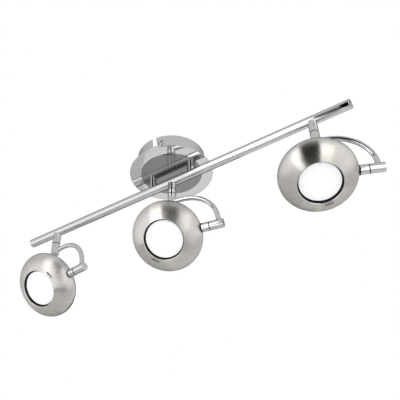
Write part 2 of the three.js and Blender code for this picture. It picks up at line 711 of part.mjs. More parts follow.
function headBack(head) {
  const innerRadius = SHELL_RADIUS - SHELL_WALL;
  const innerDepth = BACK_DEPTH - SHELL_WALL;
  const spigot = innerRadius - SPIGOT_CLEARANCE;
  const lift = -GAP / 2;
  const outer = ellipseArc(SHELL_RADIUS, -BACK_DEPTH, 0, 1, 5);
  const inner = ellipseArc(spigot - SHELL_WALL, -innerDepth, 0, 1, 4);
  outer[0][1] = lift;
  outer[outer.length - 1][0] = 0;
  inner[inner.length - 1][0] = 0;
  const rim = [[spigot - SHELL_WALL, SPIGOT_HEIGHT], [spigot, SPIGOT_HEIGHT], [spigot, lift]];
  const outline = [...inner.reverse(), ...rim, ...outer];
  return piece(`head_back_${head.name}`, 'chrome', cut(solid(revolve(outline, SHELL_SIDES)), pinHole()));
}

function lens(head) {
  const back = LENS_FRONT - LENS_THICKNESS;
  const outline = [
    [0, back], [LENS_RADIUS, back], [LENS_RADIUS, LENS_FRONT - LENS_CROWN],
    [LENS_RADIUS * 0.9, LENS_FRONT - LENS_CROWN * 0.4], [0, LENS_FRONT],
  ];
  return piece(`lens_${head.name}`, 'diffuser', solid(revolve(outline, SHELL_SIDES)));
}

// The black carrier ring: a floor under the lens edge and a wall behind the front shell's lip.
function lensBezel(head) {
  const wallInner = OPENING_RADIUS + GAP;
  const [halfWidth, depth] = [SHELL_RADIUS - SHELL_WALL, FRONT_DEPTH - SHELL_WALL];
  const top = (radius) => ellipseHeight(radius, halfWidth, depth) - BEZEL_CLEARANCE;
  const floorTop = LENS_FRONT - LENS_THICKNESS - GAP;
  const floorBottom = floorTop - BEZEL_FLOOR;
  const outline = [
    [BEZEL_FLOOR_RADIUS, floorBottom], [BEZEL_RADIUS, floorBottom], [BEZEL_RADIUS, top(BEZEL_RADIUS)],
    [wallInner, top(wallInner)], [wallInner, floorTop], [BEZEL_FLOOR_RADIUS, floorTop],
  ];
  return piece(`lens_bezel_${head.name}`, 'black_plastic', solid(revolve(outline, SHELL_SIDES)));
}

const BOARD_FRONT = LENS_FRONT - LENS_THICKNESS - BOARD_BEHIND_LENS;
const BOARD_BACK = BOARD_FRONT - BOARD_THICKNESS;

function ledBoard(head) {
  const disc = solid(rod(BOARD_RADIUS, BOARD_BACK, BOARD_FRONT, SHELL_SIDES));
  const chips = [];
  for (let step = 0; step < CHIP_COUNT; step += 1) {
    const middle = (BOARD_BACK + BOARD_FRONT) / 2;
    const chip = block(CHIP_SIZE, CHIP_SIZE, middle, BOARD_FRONT + CHIP_HEIGHT, CHIP_RING_RADIUS);
    chips.push(solid(chip.rotateZ((TURN * step) / CHIP_COUNT)));
  }
  return piece(`led_board_${head.name}`, 'board', join(disc, ...chips));
}

function heatSink(head) {
  const top = BOARD_BACK - GAP;
  const base = top - SINK_PLATE;
  const plate = solid(rod(SINK_RADIUS, base, top, SHELL_SIDES));
  const core = solid(rod(SINK_CORE_RADIUS, SINK_END_Z, base + OVERLAP, HOLE_SIDES));
  const fins = [];
  for (let step = 0; step < FIN_COUNT; step += 1) {
    const fin = block(FIN_LENGTH, FIN_WIDTH, SINK_END_Z, base + OVERLAP, FIN_MIDDLE_RADIUS);
    fins.push(solid(fin.rotateZ((TURN * step) / FIN_COUNT)));
  }
  return piece(`heat_sink_${head.name}`, 'aluminium', join(plate, core, ...fins));
}

// ---- Assembly -------------------------------------------------------------------------------------

function spotHead(head) {
  const tilting = new THREE.Group();
  tilting.position.set(HEAD_OFFSET, 0, HUB_Z);
  tilting.rotation.x = radians(90 + head.tilt);
  const makers = [
    hubInner, hubWasher, tiltPin, headBack, headFront, lensBezel, lens, ledBoard, heatSink,
  ];
  tilting.add(...makers.map((make) => make(head)));

  const swivelling = new THREE.Group();
  swivelling.position.x = head.place * HEAD_SPACING;
  swivelling.rotation.z = radians(head.swivel);
  swivelling.add(knuckleSwivel(head), arm(head), hubOuter(head), tilting);
  return swivelling;
}

const fixture = new THREE.Group();
fixture.add(bracketGroup(), canopyCup(), canopyPlate(), canopyInlay(), terminalBlock(), ledDriver());
fixture.add(post('post_left', -1), post('post_right', 1));
fixture.add(postNut('post_nut_left', -1), postNut('post_nut_right', 1));
fixture.add(barTube(), barCap('bar_cap_left', -1), barCap('bar_cap_right', 1), barWiring());
for (const head of HEADS) fixture.add(knuckleBase(head), swivelPin(head), spotHead(head));

export default fixture;
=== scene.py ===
"""Ceiling spot bar with three swivelling heads: its fine surfaces, finishes, studio and camera.

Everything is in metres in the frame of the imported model. Sizes and places are read from the
frame's nodes and joints; the lengths below are the small details that the frame doesn't hold.
"""

import json
from math import acos, atan2, cos, pi, radians, sin, sqrt, tan, tau

import bmesh
import bpy
import numpy as np
from mathutils import Matrix, Vector


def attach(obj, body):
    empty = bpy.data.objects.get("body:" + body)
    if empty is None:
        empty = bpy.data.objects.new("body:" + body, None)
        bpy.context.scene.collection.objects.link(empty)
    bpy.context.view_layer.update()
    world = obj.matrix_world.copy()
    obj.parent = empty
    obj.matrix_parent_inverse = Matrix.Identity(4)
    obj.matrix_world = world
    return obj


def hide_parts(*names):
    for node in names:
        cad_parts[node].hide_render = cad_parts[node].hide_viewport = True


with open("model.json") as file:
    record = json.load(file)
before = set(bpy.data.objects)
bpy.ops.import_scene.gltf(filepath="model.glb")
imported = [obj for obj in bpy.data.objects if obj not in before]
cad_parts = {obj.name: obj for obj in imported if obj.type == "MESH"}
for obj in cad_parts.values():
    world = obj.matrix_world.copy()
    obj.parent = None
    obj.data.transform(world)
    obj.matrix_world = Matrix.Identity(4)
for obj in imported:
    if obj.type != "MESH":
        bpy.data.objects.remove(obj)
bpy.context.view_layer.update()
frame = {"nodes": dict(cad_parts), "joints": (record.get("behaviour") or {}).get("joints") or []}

MM = 0.001
SEAM = 0.1 * MM
FIT = 0.05 * MM
THROUGH = 0.1
ON_AXIS = 1e-7
TINY = 1e-9
FINE_TURN = 192
ROUND_TURN = 128
SMALL_TURN = 64
FILLET_STEPS = 4
HEX_SIDES = 6
SHARP_ANGLE = radians(38)
HEADS = ("left", "middle", "right")
SIDES = ("left", "right")
TURNED = "turned_place"
AROUND = "around_axis"

# ---- Reading the frame -----------------------------------


def joint(name):
    return next(row for row in frame["joints"] if row["name"] == name)


def vertices(node):
    """A CAD node's vertices, as rows of x, y and z."""
    return np.array([v.co for v in frame["nodes"][node].data.vertices], float)


def seen_from(place, node):
    """A CAD node's vertices in the axes of a place."""
    points = vertices(node)
    return (np.c_[points, np.ones(len(points))] @ np.array(place.inverted()).T)[:, :3]


def extent(node, place=Matrix.Identity(4)):
    """Lowest and highest corner of a CAD node, measured in the axes of a place."""
    local = seen_from(place, node)
    return Vector(local.min(0)), Vector(local.max(0))


def middle(node):
    """The middle of a CAD node's box."""
    low, high = extent(node)
    return (low + high) / 2


def half_width(node, place=Matrix.Identity(4)):
    """Half of a CAD node's size along the place's Y axis."""
    low, high = extent(node, place)
    return (high.y - low.y) / 2


def from_axis(points):
    """Each point's distance from the Z axis."""
    return np.hypot(points[:, 0], points[:, 1])


def radii(node, place):
    """Smallest and largest distance of a CAD node's vertices from a place's Z axis."""
    distance = from_axis(seen_from(place, node))
    return float(distance.min()), float(distance.max())


def axes(origin, x_axis, z_axis):
    """A place with the given origin, X axis and Z axis."""
    x, z = Vector(x_axis).normalized(), Vector(z_axis).normalized()
    turned = Matrix((x, z.cross(x), z)).transposed()
    return Matrix.Translation(origin) @ turned.to_4x4()


def along_x(place):
    """The same place turned so that its Z axis lies along the old X axis."""
    return place @ Matrix.Rotation(pi / 2, 4, "Y")


def arm_place(name):
    """Origin on the knuckle axis at ceiling height, X towards the hub, Z up."""
    x, y, _ = joint("swivel_" + name)["pos_m"]
    return axes((x, y, 0), joint("tilt_" + name)["axis"], (0, 0, 1))


def head_place(name):
    """Origin in the middle of the head's rim, X along the hub axis, Z out of the lens."""
    tilt = joint("tilt_" + name)
    hub_axis, anchor = Vector(tilt["axis"]).normalized(), Vector(tilt["pos_m"])
    to_lens = Vector(vertices("lens_" + name).mean(0)) - anchor
    beside = hub_axis * to_lens.dot(hub_axis)
    return axes(anchor + beside, hub_axis, to_lens - beside)


# ---- Mesh work -------------------------------------------


def rounded(corners, closed=False, steps=FILLET_STEPS):
    """An outline from (radius, height, fillet) corners, with each fillet turned into an arc."""
    points = []
    last = len(corners) - 1
    for i, (x, y, fillet) in enumerate(corners):
        if fillet == 0 or (not closed and i in (0, last)):
            points.append((x, y))
            continue
        here = Vector((x, y))
        back = (Vector(corners[i - 1][:2]) - here).normalized()
        ahead = (Vector(corners[(i + 1) % len(corners)][:2]) - here).normalized()
        half = back.angle(ahead) / 2
        centre = here + (back + ahead).normalized() * (fillet / sin(half))
        start = here + back * (fillet / tan(half)) - centre
        end = here + ahead * (fillet / tan(half)) - centre
        first = atan2(start.y, start.x)
        turn = (atan2(end.y, end.x) - first + pi) % tau - pi
        for k in range(steps + 1):
            angle = first + turn * k / steps
            points.append((centre.x + fillet * cos(angle), centre.y + fillet * sin(angle)))
    return points


def new_piece(name, mesh, place=Matrix.Identity(4)):
    bmesh.ops.recalc_face_normals(mesh, faces=mesh.faces)
    data = bpy.data.meshes.new(name)
    mesh.to_mesh(data)
    mesh.free()
    piece = bpy.data.objects.new(name, data)
    bpy.context.scene.collection.objects.link(piece)
    piece.matrix_world = place
    return piece


def lathe(name, outline, place, closed=False, segments=ROUND_TURN):
    """A surface of revolution about the place's Z axis from (radius, height) points."""
    mesh = bmesh.new()
    rings = []
    for radius, height in outline:
        count = 1 if radius < ON_AXIS else segments
        rings.append([
            mesh.verts.new((radius * cos(tau * i / segments), radius * sin(tau * i / segments), height))
            for i in range(count)
        ])
    followers = rings[1:] + rings[:1] if closed else rings[1:]
    for ring, follower in zip(rings, followers):
        for i in range(segments):
            j = (i + 1) % segments
            loop = [ring[i % len(ring)], ring[j % len(ring)]]
            loop += [follower[j % len(follower)], follower[i % len(follower)]]
            corners = list(dict.fromkeys(loop))
            if len(corners) > 2:
                mesh.faces.new(corners)
    return new_piece(name, mesh, place)


def sweep(name, stations, radius, place, sides=32):
    """A solid rod through (point, direction) stations that lie in the place's XZ plane."""
    mesh = bmesh.new()
    side = Vector((0, 1, 0))
    rings = []
    for point, direction in stations:
        up = direction.cross(side)
        ring = [point + radius * (side * cos(tau * i / sides) + up * sin(tau * i / sides))
                for i in range(sides)]
        rings.append([mesh.verts.new(corner) for corner in ring])
    for ring, follower in zip(rings, rings[1:]):
        for i in range(sides):
            j = (i + 1) % sides
            mesh.faces.new((ring[i], ring[j], follower[j], follower[i]))
    mesh.faces.new(rings[0])
    mesh.faces.new(rings[-1])
    return new_piece(name, mesh, place)


def rounded_box(name, low, high, fillet, upright_fillet=None, place=Matrix.Identity(4)):
    """A box between two corners with rounded edges; its upright edges may be rounder."""
    mesh = bmesh.new()
    size, centre = high - low, (high + low) / 2
    bmesh.ops.create_cube(mesh, size=1)
    bmesh.ops.scale(mesh, vec=size, verts=mesh.verts)
    bmesh.ops.translate(mesh, vec=centre, verts=mesh.verts)
    if upright_fillet:
        upright = [e for e in mesh.edges if abs((e.verts[0].co - e.verts[1].co).z) > size.z / 2]
        bmesh.ops.bevel(mesh, geom=upright, offset=upright_fillet, segments=8, affect="EDGES", profile=0.5)
    bmesh.ops.bevel(mesh, geom=mesh.edges[:], offset=fillet, segments=2, affect="EDGES", profile=0.5)
    return new_piece(name, mesh, place)


def cylinder_cutter(radius, low, high, place, segments=SMALL_TURN):
    return lathe("cutter", [(0, low), (radius, low), (radius, high), (0, high)], place, segments=segments)


def carve(piece, *cutters):
    """Cuts each cutter out of a piece, removes the cutters and returns the piece."""
    for cutter in cutters:
        modifier = piece.modifiers.new("cut", "BOOLEAN")
        modifier.object = cutter
        modifier.operation = "DIFFERENCE"
        modifier.solver = "EXACT"
    bpy.context.view_layer.update()
    shown = piece.evaluated_get(bpy.context.evaluated_depsgraph_get())
    data = bpy.data.meshes.new_from_object(shown)
    piece.modifiers.clear()
    piece.data = data
    data.name = piece.name
    for cutter in cutters:
        bpy.data.objects.remove(cutter)
    return piece


def settle(piece):
    """Moves a piece's place into its mesh, and keeps its turning axes as attributes for the finishes."""
    place, data = piece.matrix_world.copy(), piece.data
    own = np.array([v.co for v in data.vertices], np.float32)
    around = np.c_[-own[:, 1], own[:, 0], np.zeros(len(own))] @ np.array(place.to_3x3()).T
    around /= np.maximum(np.linalg.norm(around, axis=1, keepdims=True), TINY)
    for name, values in ((TURNED, own), (AROUND, around)):
        attribute = data.attributes.new(name, "FLOAT_VECTOR", "POINT")
        attribute.data.foreach_set("vector", values.astype(np.float32).ravel())
    data.transform(place)
    piece.matrix_world = Matrix.Identity(4)


def smooth(piece):
    """Smooth shading that keeps edges sharper than SHARP_ANGLE."""
    piece.data.shade_smooth()
    piece.data.set_sharp_from_angle(angle=SHARP_ANGLE)
    modifier = piece.modifiers.new("face weights", "WEIGHTED_NORMAL")
    modifier.keep_sharp = True


def fit(piece, material, slot, body, *nodes):
    """Gives a piece its finish and its body, and hides the CAD nodes that it stands for."""
    settle(piece)
    smooth(piece)
    piece.data.materials.clear()
    piece.data.materials.append(material)
    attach(piece, body)
    if nodes:
        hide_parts(*nodes)


def refine(node, material, edge=None):
    """Keeps a CAD node, with its finish and, where it can be seen, softened edges."""
    piece = frame["nodes"][node]
    piece.data.materials.clear()
    piece.data.materials.append(material)
    if edge:
        modifier = piece.modifiers.new("soft edges", "BEVEL")
        modifier.width = edge
        modifier.segments = 2
        modifier.limit_method = "ANGLE"
        modifier.angle_limit = SHARP_ANGLE


# ---- Materials -------------------------------------------


def add(tree, kind, values=None, **settings):
    """A shader node with its settings, and its inputs set by name or linked."""
    node = tree.nodes.new("ShaderNode" + kind)
    for key, value in settings.items():
        setattr(node, key, value)
    for key, value in (values or {}).items():
        if isinstance(value, bpy.types.NodeSocket):
            tree.links.new(value, node.inputs[key])
        else:
            node.inputs[key].default_value = value
    return node


def blank(name, roughness, metallic, **sockets):
    """A new material with its tree, its shader and its object coordinates."""
    material = bpy.data.materials.new(name)
    material.use_nodes = True
    tree = material.node_tree
    shader = tree.nodes["Principled BSDF"]
    shader.inputs["Roughness"].default_value = roughness
    shader.inputs["Metallic"].default_value = metallic
    for key, value in sockets.items():
        shader.inputs[key.replace("_", " ")].default_value = value
    place = add(tree, "TexCoord").outputs["Object"]
    return material, tree, shader, place


def noise(tree, place, scale, detail=3.0, stretch=(1, 1, 1)):
    """Noise of a given scale, drawn out along the axes where stretch is small."""
    mapped = add(tree, "Mapping", {"Vector": place, "Scale": stretch}).outputs["Vector"]
    return add(tree, "TexNoise", {"Vector": mapped, "Scale": scale, "Detail": detail}).outputs["Fac"]


def ranged(tree, value, low, high, start=0.3, end=0.7):
    """A value's spread from start to end, mapped to low to high."""
    limits = {"Value": value, "From Min": start, "From Max": end, "To Min": low, "To Max": high}
    return add(tree, "MapRange", limits).outputs["Result"]


def tinted(tree, factor, first, second):
    """A colour that runs from first to second with the factor."""
    colors = add(tree, "Mix", data_type="RGBA")
    tree.links.new(factor, colors.inputs["Factor"])
    colors.inputs["A"].default_value = (*first, 1)
    colors.inputs["B"].default_value = (*second, 1)
    return colors.outputs["Result"]


def relief(tree, shader, height, depth, strength):
    """Bump from a height, with its depth in metres."""
    bump = add(tree, "Bump", {"Height": height, "Distance": depth, "Strength": strength})
    tree.links.new(bump.outputs["Normal"], shader.inputs["Normal"])


def math(tree, operation, first, second=0.0):
    """The result of a Math node on two values or sockets."""
    node = add(tree, "Math", operation=operation)
    for socket, value in zip(node.inputs, (first, second)):
        if isinstance(value, bpy.types.NodeSocket):
            tree.links.new(value, socket)
        else:
            socket.default_value = value
    return node.outputs["Value"]


def polished_chrome():
    """Bright chrome with faint haze, wiping marks and hairline scratches."""
    edge_tint = (0.35, 0.35, 0.36, 1)
    material, tree, shader, place = blank("polished_chrome", 0.05, 1.0, Specular_Tint=edge_tint)
    haze = noise(tree, place, 28.0, 4.0)
    wipes = noise(tree, place, 55.0, 6.0, (1, 6, 1))
    hairs = noise(tree, place, 900.0, 2.0, (0.05, 1, 1))
    metal = tinted(tree, haze, (0.78, 0.79, 0.80), (0.83, 0.835, 0.84))
    tree.links.new(metal, shader.inputs["Base Color"])
    tree.links.new(ranged(tree, wipes, 0.03, 0.075), shader.inputs["Roughness"])
    relief(tree, shader, ranged(tree, hairs, 1.0, 0.0, 0.66, 0.72), 0.002 * MM, 0.3)
    return material


def turned_coordinates(tree, rings, spokes):
    """Coordinates for circular brushing, fine across the radius and slow around it, and the radius."""
    own = add(tree, "Attribute", attribute_name=TURNED).outputs["Vector"]
    split = add(tree, "SeparateXYZ", {"Vector": own})
    x, y = (split.outputs[axis] for axis in "XY")
    squares = math(tree, "ADD", math(tree, "MULTIPLY", x, x), math(tree, "MULTIPLY", y, y))
    radius = math(tree, "MAXIMUM", math(tree, "SQRT", squares), 0.1 * MM)
    across = math(tree, "MULTIPLY", radius, rings)
    around_x = math(tree, "MULTIPLY", math(tree, "DIVIDE", x, radius), spokes)
    around_y = math(tree, "MULTIPLY", math(tree, "DIVIDE", y, radius), spokes)
    joined = add(tree, "CombineXYZ", {"X": across, "Y": around_x, "Z": around_y}).outputs["Vector"]
    return joined, radius


def brushed_nickel(opening, rim):
    """Satin nickel brushed in circles, a little smoother at the opening's lip and at the rim, where a
    painted highlight also lightens its colour.
    """
    material, tree, shader, place = blank(
        "brushed_nickel", 0.28, 1.0, Anisotropic=1.0, Anisotropic_Rotation=0.25,
        Specular_Tint=(0.45, 0.44, 0.43, 1))
    turned, radius = turned_coordinates(tree, 5200.0, 1.6)
    grooves = add(tree, "TexNoise", {"Vector": turned, "Scale": 1.0, "Detail": 2.0}).outputs["Fac"]
    sectors, _ = turned_coordinates(tree, 18.0, 7.0)
    streaks = add(tree, "TexNoise", {"Vector": sectors, "Scale": 1.0, "Detail": 5.0}).outputs["Fac"]
    cloud = noise(tree, place, 30.0, 3.0)
    lip = ranged(tree, radius, 1.0, 0.0, opening, opening + 1.6 * MM)
    edge = ranged(tree, radius, 0.0, 1.0, rim - 0.5 * MM, rim)
    # lip and rim: the metal is smoother there, and a painted highlight lightens the colour
    polish_and_painted_highlight = math(tree, "MAXIMUM", lip, edge)
    metal = tinted(tree, cloud, (0.80, 0.775, 0.735), (0.85, 0.825, 0.785))
    streaked = add(tree, "Mix", data_type="RGBA", blend_type="MULTIPLY")
    tree.links.new(ranged(tree, streaks, 0.0, 0.35), streaked.inputs["Factor"])
    tree.links.new(metal, streaked.inputs["A"])
    streaked.inputs["B"].default_value = (0.80, 0.78, 0.76, 1)
    # painted highlight: the colour turns lighter towards the lip and the rim
    painted_highlight_mix = add(tree, "Mix", data_type="RGBA")
    tree.links.new(math(tree, "MULTIPLY", polish_and_painted_highlight, 0.6), painted_highlight_mix.inputs["Factor"])
    tree.links.new(streaked.outputs["Result"], painted_highlight_mix.inputs["A"])
    painted_highlight_mix.inputs["B"].default_value = (0.84, 0.83, 0.81, 1)
    tree.links.new(painted_highlight_mix.outputs["Result"], shader.inputs["Base Color"])
    rough = ranged(tree, grooves, 0.25, 0.33)
    smoother = math(tree, "SUBTRACT", rough, math(tree, "MULTIPLY", polish_and_painted_highlight, 0.10))
    tree.links.new(smoother, shader.inputs["Roughness"])
    around = add(tree, "Attribute", attribute_name=AROUND).outputs["Vector"]
    turning = add(tree, "VectorTransform", {"Vector": around}, vector_type="VECTOR",
                  convert_from="OBJECT", convert_to="WORLD")
    tree.links.new(turning.outputs["Vector"], shader.inputs["Tangent"])
    relief(tree, shader, grooves, 0.004 * MM, 0.35)
    return material


def satin_disc():
    """Darker satin metal with a soft circular grain."""
    material, tree, shader, place = blank("satin_disc", 0.17, 1.0)
    turned, _ = turned_coordinates(tree, 3600.0, 1.2)
    grain = add(tree, "TexNoise", {"Vector": turned, "Scale": 1.0, "Detail": 2.0}).outputs["Fac"]
    cloud = noise(tree, place, 24.0, 4.0)
    metal = tinted(tree, cloud, (0.312, 0.316, 0.320), (0.351, 0.353, 0.355))
    tree.links.new(metal, shader.inputs["Base Color"])
    tree.links.new(ranged(tree, grain, 0.14, 0.21), shader.inputs["Roughness"])
    relief(tree, shader, grain, 0.002 * MM, 0.2)
    return material


def plated_steel():
    """Zinc plated steel: cloudy spangle and tool marks."""
    material, tree, shader, place = blank("plated_steel", 0.35, 1.0)
    spangle = noise(tree, place, 160.0, 5.0)
    marks = noise(tree, place, 500.0, 2.0, (0.2, 1, 1))
    zinc_grey = tinted(tree, spangle, (0.52, 0.55, 0.58), (0.68, 0.69, 0.68))
    tree.links.new(zinc_grey, shader.inputs["Base Color"])
    tree.links.new(ranged(tree, marks, 0.22, 0.42), shader.inputs["Roughness"])
    relief(tree, shader, marks, 0.006 * MM, 0.4)
    return material


def cast_metal(name, dark, light, roughness):
    """Plain metal with a fine blasted surface: aluminium and brass."""
    material, tree, shader, place = blank(name, roughness, 1.0)
    cloud = noise(tree, place, 90.0, 4.0)
    pits = noise(tree, place, 1400.0, 2.0)
    tree.links.new(tinted(tree, cloud, dark, light), shader.inputs["Base Color"])
    tree.links.new(ranged(tree, pits, roughness - 0.08, roughness + 0.1), shader.inputs["Roughness"])
    relief(tree, shader, pits, 0.01 * MM, 0.4)
    return material


def moulded_plastic(name, dark, light, roughness):
    """Plastic with a fine spark-eroded grain and slightly uneven colour."""
    material, tree, shader, place = blank(name, roughness, 0.0)
    cloud = noise(tree, place, 60.0, 3.0)
    pits = noise(tree, place, 2200.0, 3.0)
    tree.links.new(tinted(tree, cloud, dark, light), shader.inputs["Base Color"])
    tree.links.new(ranged(tree, pits, roughness - 0.07, roughness + 0.07), shader.inputs["Roughness"])
    relief(tree, shader, pits, 0.01 * MM, 0.5)
    return material


LENS_GLOW = 0.38
LENS_FADE = (15 * MM, 24 * MM)


def opal_lens():
    """The lit diffuser: frosted opal, a touch cooler towards its edge."""
    material, tree, shader, place = blank("opal_lens", 0.42, 0.0)
    frost = noise(tree, place, 1800.0, 3.0)
    cloud = noise(tree, place, 45.0, 2.0)
    _, radius = turned_coordinates(tree, 1.0, 1.0)
    towards_edge = ranged(tree, radius, 0.0, 1.0, *LENS_FADE)
    opal_white = tinted(tree, cloud, (0.92, 0.92, 0.925), (0.95, 0.95, 0.95))
    tree.links.new(opal_white, shader.inputs["Base Color"])
    light = tinted(tree, towards_edge, (1.0, 1.0, 1.0), (0.86, 0.88, 0.92))
    tree.links.new(light, shader.inputs["Emission Color"])
    shader.inputs["Emission Strength"].default_value = LENS_GLOW
    tree.links.new(ranged(tree, frost, 0.36, 0.5), shader.inputs["Roughness"])
    relief(tree, shader, frost, 0.006 * MM, 0.4)
    return material


FRONT_TOP = extent("head_front_middle", head_place("middle"))[1].z
OPENING_RADIUS, SHELL_RADIUS = radii("head_front_middle", head_place("middle"))

chrome = polished_chrome()
nickel = brushed_nickel(OPENING_RADIUS, SHELL_RADIUS)
disc_metal = satin_disc()
zinc = plated_steel()
aluminium = cast_metal("raw_aluminium", (0.66, 0.67, 0.68), (0.76, 0.77, 0.78), 0.42)
brass = cast_metal("brass", (0.62, 0.47, 0.22), (0.75, 0.60, 0.32), 0.3)
black = moulded_plastic("black_plastic", (0.008, 0.008, 0.009), (0.016, 0.016, 0.017), 0.55)
white = moulded_plastic("white_plastic", (0.76, 0.76, 0.735), (0.83, 0.83, 0.81), 0.45)
board_mask = moulded_plastic("board_mask", (0.80, 0.82, 0.78), (0.88, 0.88, 0.86), 0.4)
cable = moulded_plastic("cable_sleeve", (0.50, 0.50, 0.49), (0.58, 0.58, 0.57), 0.6)
opal = opal_lens()

# ---- Canopy ----------------------------------------------

BAR_LOW, BAR_HIGH = extent("bar_tube")
BAR_RADIUS = (BAR_HIGH.z - BAR_LOW.z) / 2
BAR_Z = (BAR_HIGH.z + BAR_LOW.z) / 2
BAR_LINE = along_x(Matrix.Translation((0, 0, BAR_Z)))
POSTS = {side: middle("post_" + side) for side in SIDES}
POST_RADIUS = half_width("post_left")
POST_BORE = 2.2 * MM
STEM_RADIUS = 4.1 * MM
SIDE_SCREWS = ("canopy_screw_front", "canopy_screw_back")
SIDE_SCREW_Z = sum(corner.z for corner in extent("canopy_screw_front")) / 2
CUP_WALL = 1 * MM
BAYONET_LEG = 2.2 * MM
BAYONET_ENTRY = 6.6 * MM
BAYONET_LEAD = radians(13.3)
SHANK_RADIUS = 1.95 * MM
THREAD_DEPTH = 0.3 * MM
THREAD_PITCH = 0.7 * MM


def stem_cutters():
    places = [Matrix.Translation((POSTS[side].x, 0, 0)) for side in SIDES]
    return [cylinder_cutter(STEM_RADIUS, -THROUGH, 0, place) for place in places]


def side_screw_angle(name):
    centre = middle(name)
    return atan2(centre.y, centre.x)


def sector_cutter(radius, first, last, low, high, steps=12):
    """A block that crosses the canopy wall between two angles and two heights."""
    reach = 5 * MM
    mesh = bmesh.new()
    rows = []
    for i in range(steps + 1):
        angle = first + (last - first) * i / steps
        for distance in (radius - reach, radius + reach):
            for height in (low, high):
                rows.append(mesh.verts.new((distance * cos(angle), distance * sin(angle), height)))
    for i in range(steps):
        a, b = rows[4 * i:4 * i + 4], rows[4 * i + 4:4 * i + 8]
        for p, q in ((0, 1), (1, 3), (3, 2), (2, 0)):
            mesh.faces.new((a[p], a[q], b[q], b[p]))
    mesh.faces.new((rows[0], rows[1], rows[3], rows[2]))
    mesh.faces.new((rows[-4], rows[-3], rows[-1], rows[-2]))
    return new_piece("cutter", mesh)


def bayonet_cutters(screw_name, radius):
    """The L-shaped slot of a side screw: an entry from the rim, and a leg on to the screw."""
    screw = side_screw_angle(screw_name)
    turn, half_entry = screw - BAYONET_LEAD, BAYONET_ENTRY / radius / 2
    low, high = SIDE_SCREW_Z - BAYONET_LEG, SIDE_SCREW_Z + BAYONET_LEG
    entry = sector_cutter(radius, turn - half_entry, turn + half_entry, low, MM)
    leg = sector_cutter(radius, turn, screw + BAYONET_LEG / radius, low, high)
    return [entry, leg]


def canopy_cup():
    """The chrome cup, with holes for the posts' stems and a bayonet slot for each side screw."""
    low, high = extent("canopy_cup")
    radius, inside, floor_top = high.x, high.x - CUP_WALL, low.z + CUP_WALL
    outline = rounded([
        (0, floor_top, 0), (inside, floor_top, 0.5 * MM), (inside, high.z, 0.2 * MM),
        (radius, high.z, 0.3 * MM), (radius, low.z, 0.3 * MM), (0, low.z, 0),
    ])
    cup = lathe("canopy_cup_wall", outline, Matrix.Identity(4), segments=FINE_TURN)
    cutters = stem_cutters()
    for name in SIDE_SCREWS:
        cutters += bayonet_cutters(name, radius)
    fit(carve(cup, *cutters), chrome, "chrome", "base", "canopy_cup")


def canopy_plate():
    """The wide polished plate, with a shallow pocket for the inlay."""
    low, high = extent("canopy_plate")
    inlay = extent("canopy_inlay")[1]
    edge, pocket, pocket_floor = 0.45 * MM, inlay.x + 2 * SEAM, inlay.z + SEAM
    outline = rounded([
        (0, high.z, 0), (high.x, high.z, edge), (high.x, low.z, edge),
        (pocket, low.z, 0.15 * MM), (pocket, pocket_floor, 0), (0, pocket_floor, 0),
    ])
    plate = lathe("canopy_plate_ring", outline, Matrix.Identity(4), segments=FINE_TURN)
    fit(carve(plate, *stem_cutters()), chrome, "chrome", "base", "canopy_plate")


def canopy_inlay():
    low, high = extent("canopy_inlay")
    outline = rounded([(0, high.z, 0), (high.x, high.z, 0), (high.x, low.z, 0.25 * MM), (0, low.z, 0)])
    inlay = lathe("canopy_inlay_disc", outline, Matrix.Identity(4), segments=FINE_TURN)
    fit(carve(inlay, *stem_cutters()), disc_metal, "satin_disc", "base", "canopy_inlay")


def crossed_blades(half_length, half_thickness, depth, fillet, place):
    """Two crossed blades that cut a cross recess into a screw head."""
    corner = Vector((half_length, half_thickness, depth))
    turned = [place @ Matrix.Rotation(turn, 4, "Z") for turn in (0, pi / 2)]
    return [rounded_box("cutter", -corner, corner, fillet, place=blade) for blade in turned]


def side_screw(name):
    """A screw with a domed head, a cross recess and a thread that ends inside the cup."""
    low, high = extent(name)
    to_height = Matrix.Translation((0, 0, (low.z + high.z) / 2))
    place = along_x(Matrix.Rotation(side_screw_angle(name), 4, "Z") @ to_height)
    low, high = extent(name, place)
    head, tip, top = high.x, low.z, high.z
    seat, root = extent("canopy_cup")[1].x + SEAM, SHANK_RADIUS - THREAD_DEPTH
    plain_neck, thread_stop = seat - 1.5 * MM, seat - 2 * MM
    threads = []
    turn = 0
    while tip + THREAD_PITCH * (turn + 1) < thread_stop:
        threads.append((root, tip + THREAD_PITCH * (turn + 0.15)))
        threads.append((SHANK_RADIUS, tip + THREAD_PITCH * (turn + 0.6)))
        turn += 1
    cap = rounded([
        (root, seat, 0), (head, seat, 0.2 * MM), (head, top - 0.7 * MM, 0.5 * MM),
        (head * 0.72, top, 0.6 * MM), (0, top, 0),
    ])
    screw = lathe(name + "_m4", [(0, tip), *threads, (root, plain_neck), *cap], place, segments=SMALL_TURN)
    recess = place @ Matrix.Translation((0, 0, top)) @ Matrix.Rotation(radians(35), 4, "Z")
    blades = crossed_blades(2.1 * MM, 0.45 * MM, 1.4 * MM, 0.15 * MM, recess)
    fit(carve(screw, *blades), zinc, "zinc_steel", "base", name)


def bar_saddle():
    return cylinder_cutter(BAR_RADIUS + FIT, -3 * THROUGH, 3 * THROUGH, BAR_LINE, ROUND_TURN)


def post(side):
    """A hollow post from the bar up to its shoulder on the inlay, with a thinner stem above."""
    place = Matrix.Translation((POSTS[side].x, 0, 0))
    shoulder, top = extent("canopy_inlay")[0].z - FIT, extent("post_" + side)[1].z
    stem = STEM_RADIUS - 2 * SEAM
    outline = rounded([
        (POST_BORE, BAR_Z, 0), (POST_RADIUS, BAR_Z, 0), (POST_RADIUS, shoulder, 0.35 * MM),
        (stem, shoulder, 0), (stem, top, 0.3 * MM), (POST_BORE, top, 0),
    ], closed=True)
    piece = lathe(f"post_{side}_saddled", outline, place, closed=True)
    fit(carve(piece, bar_saddle()), chrome, "chrome", "base", "post_" + side)


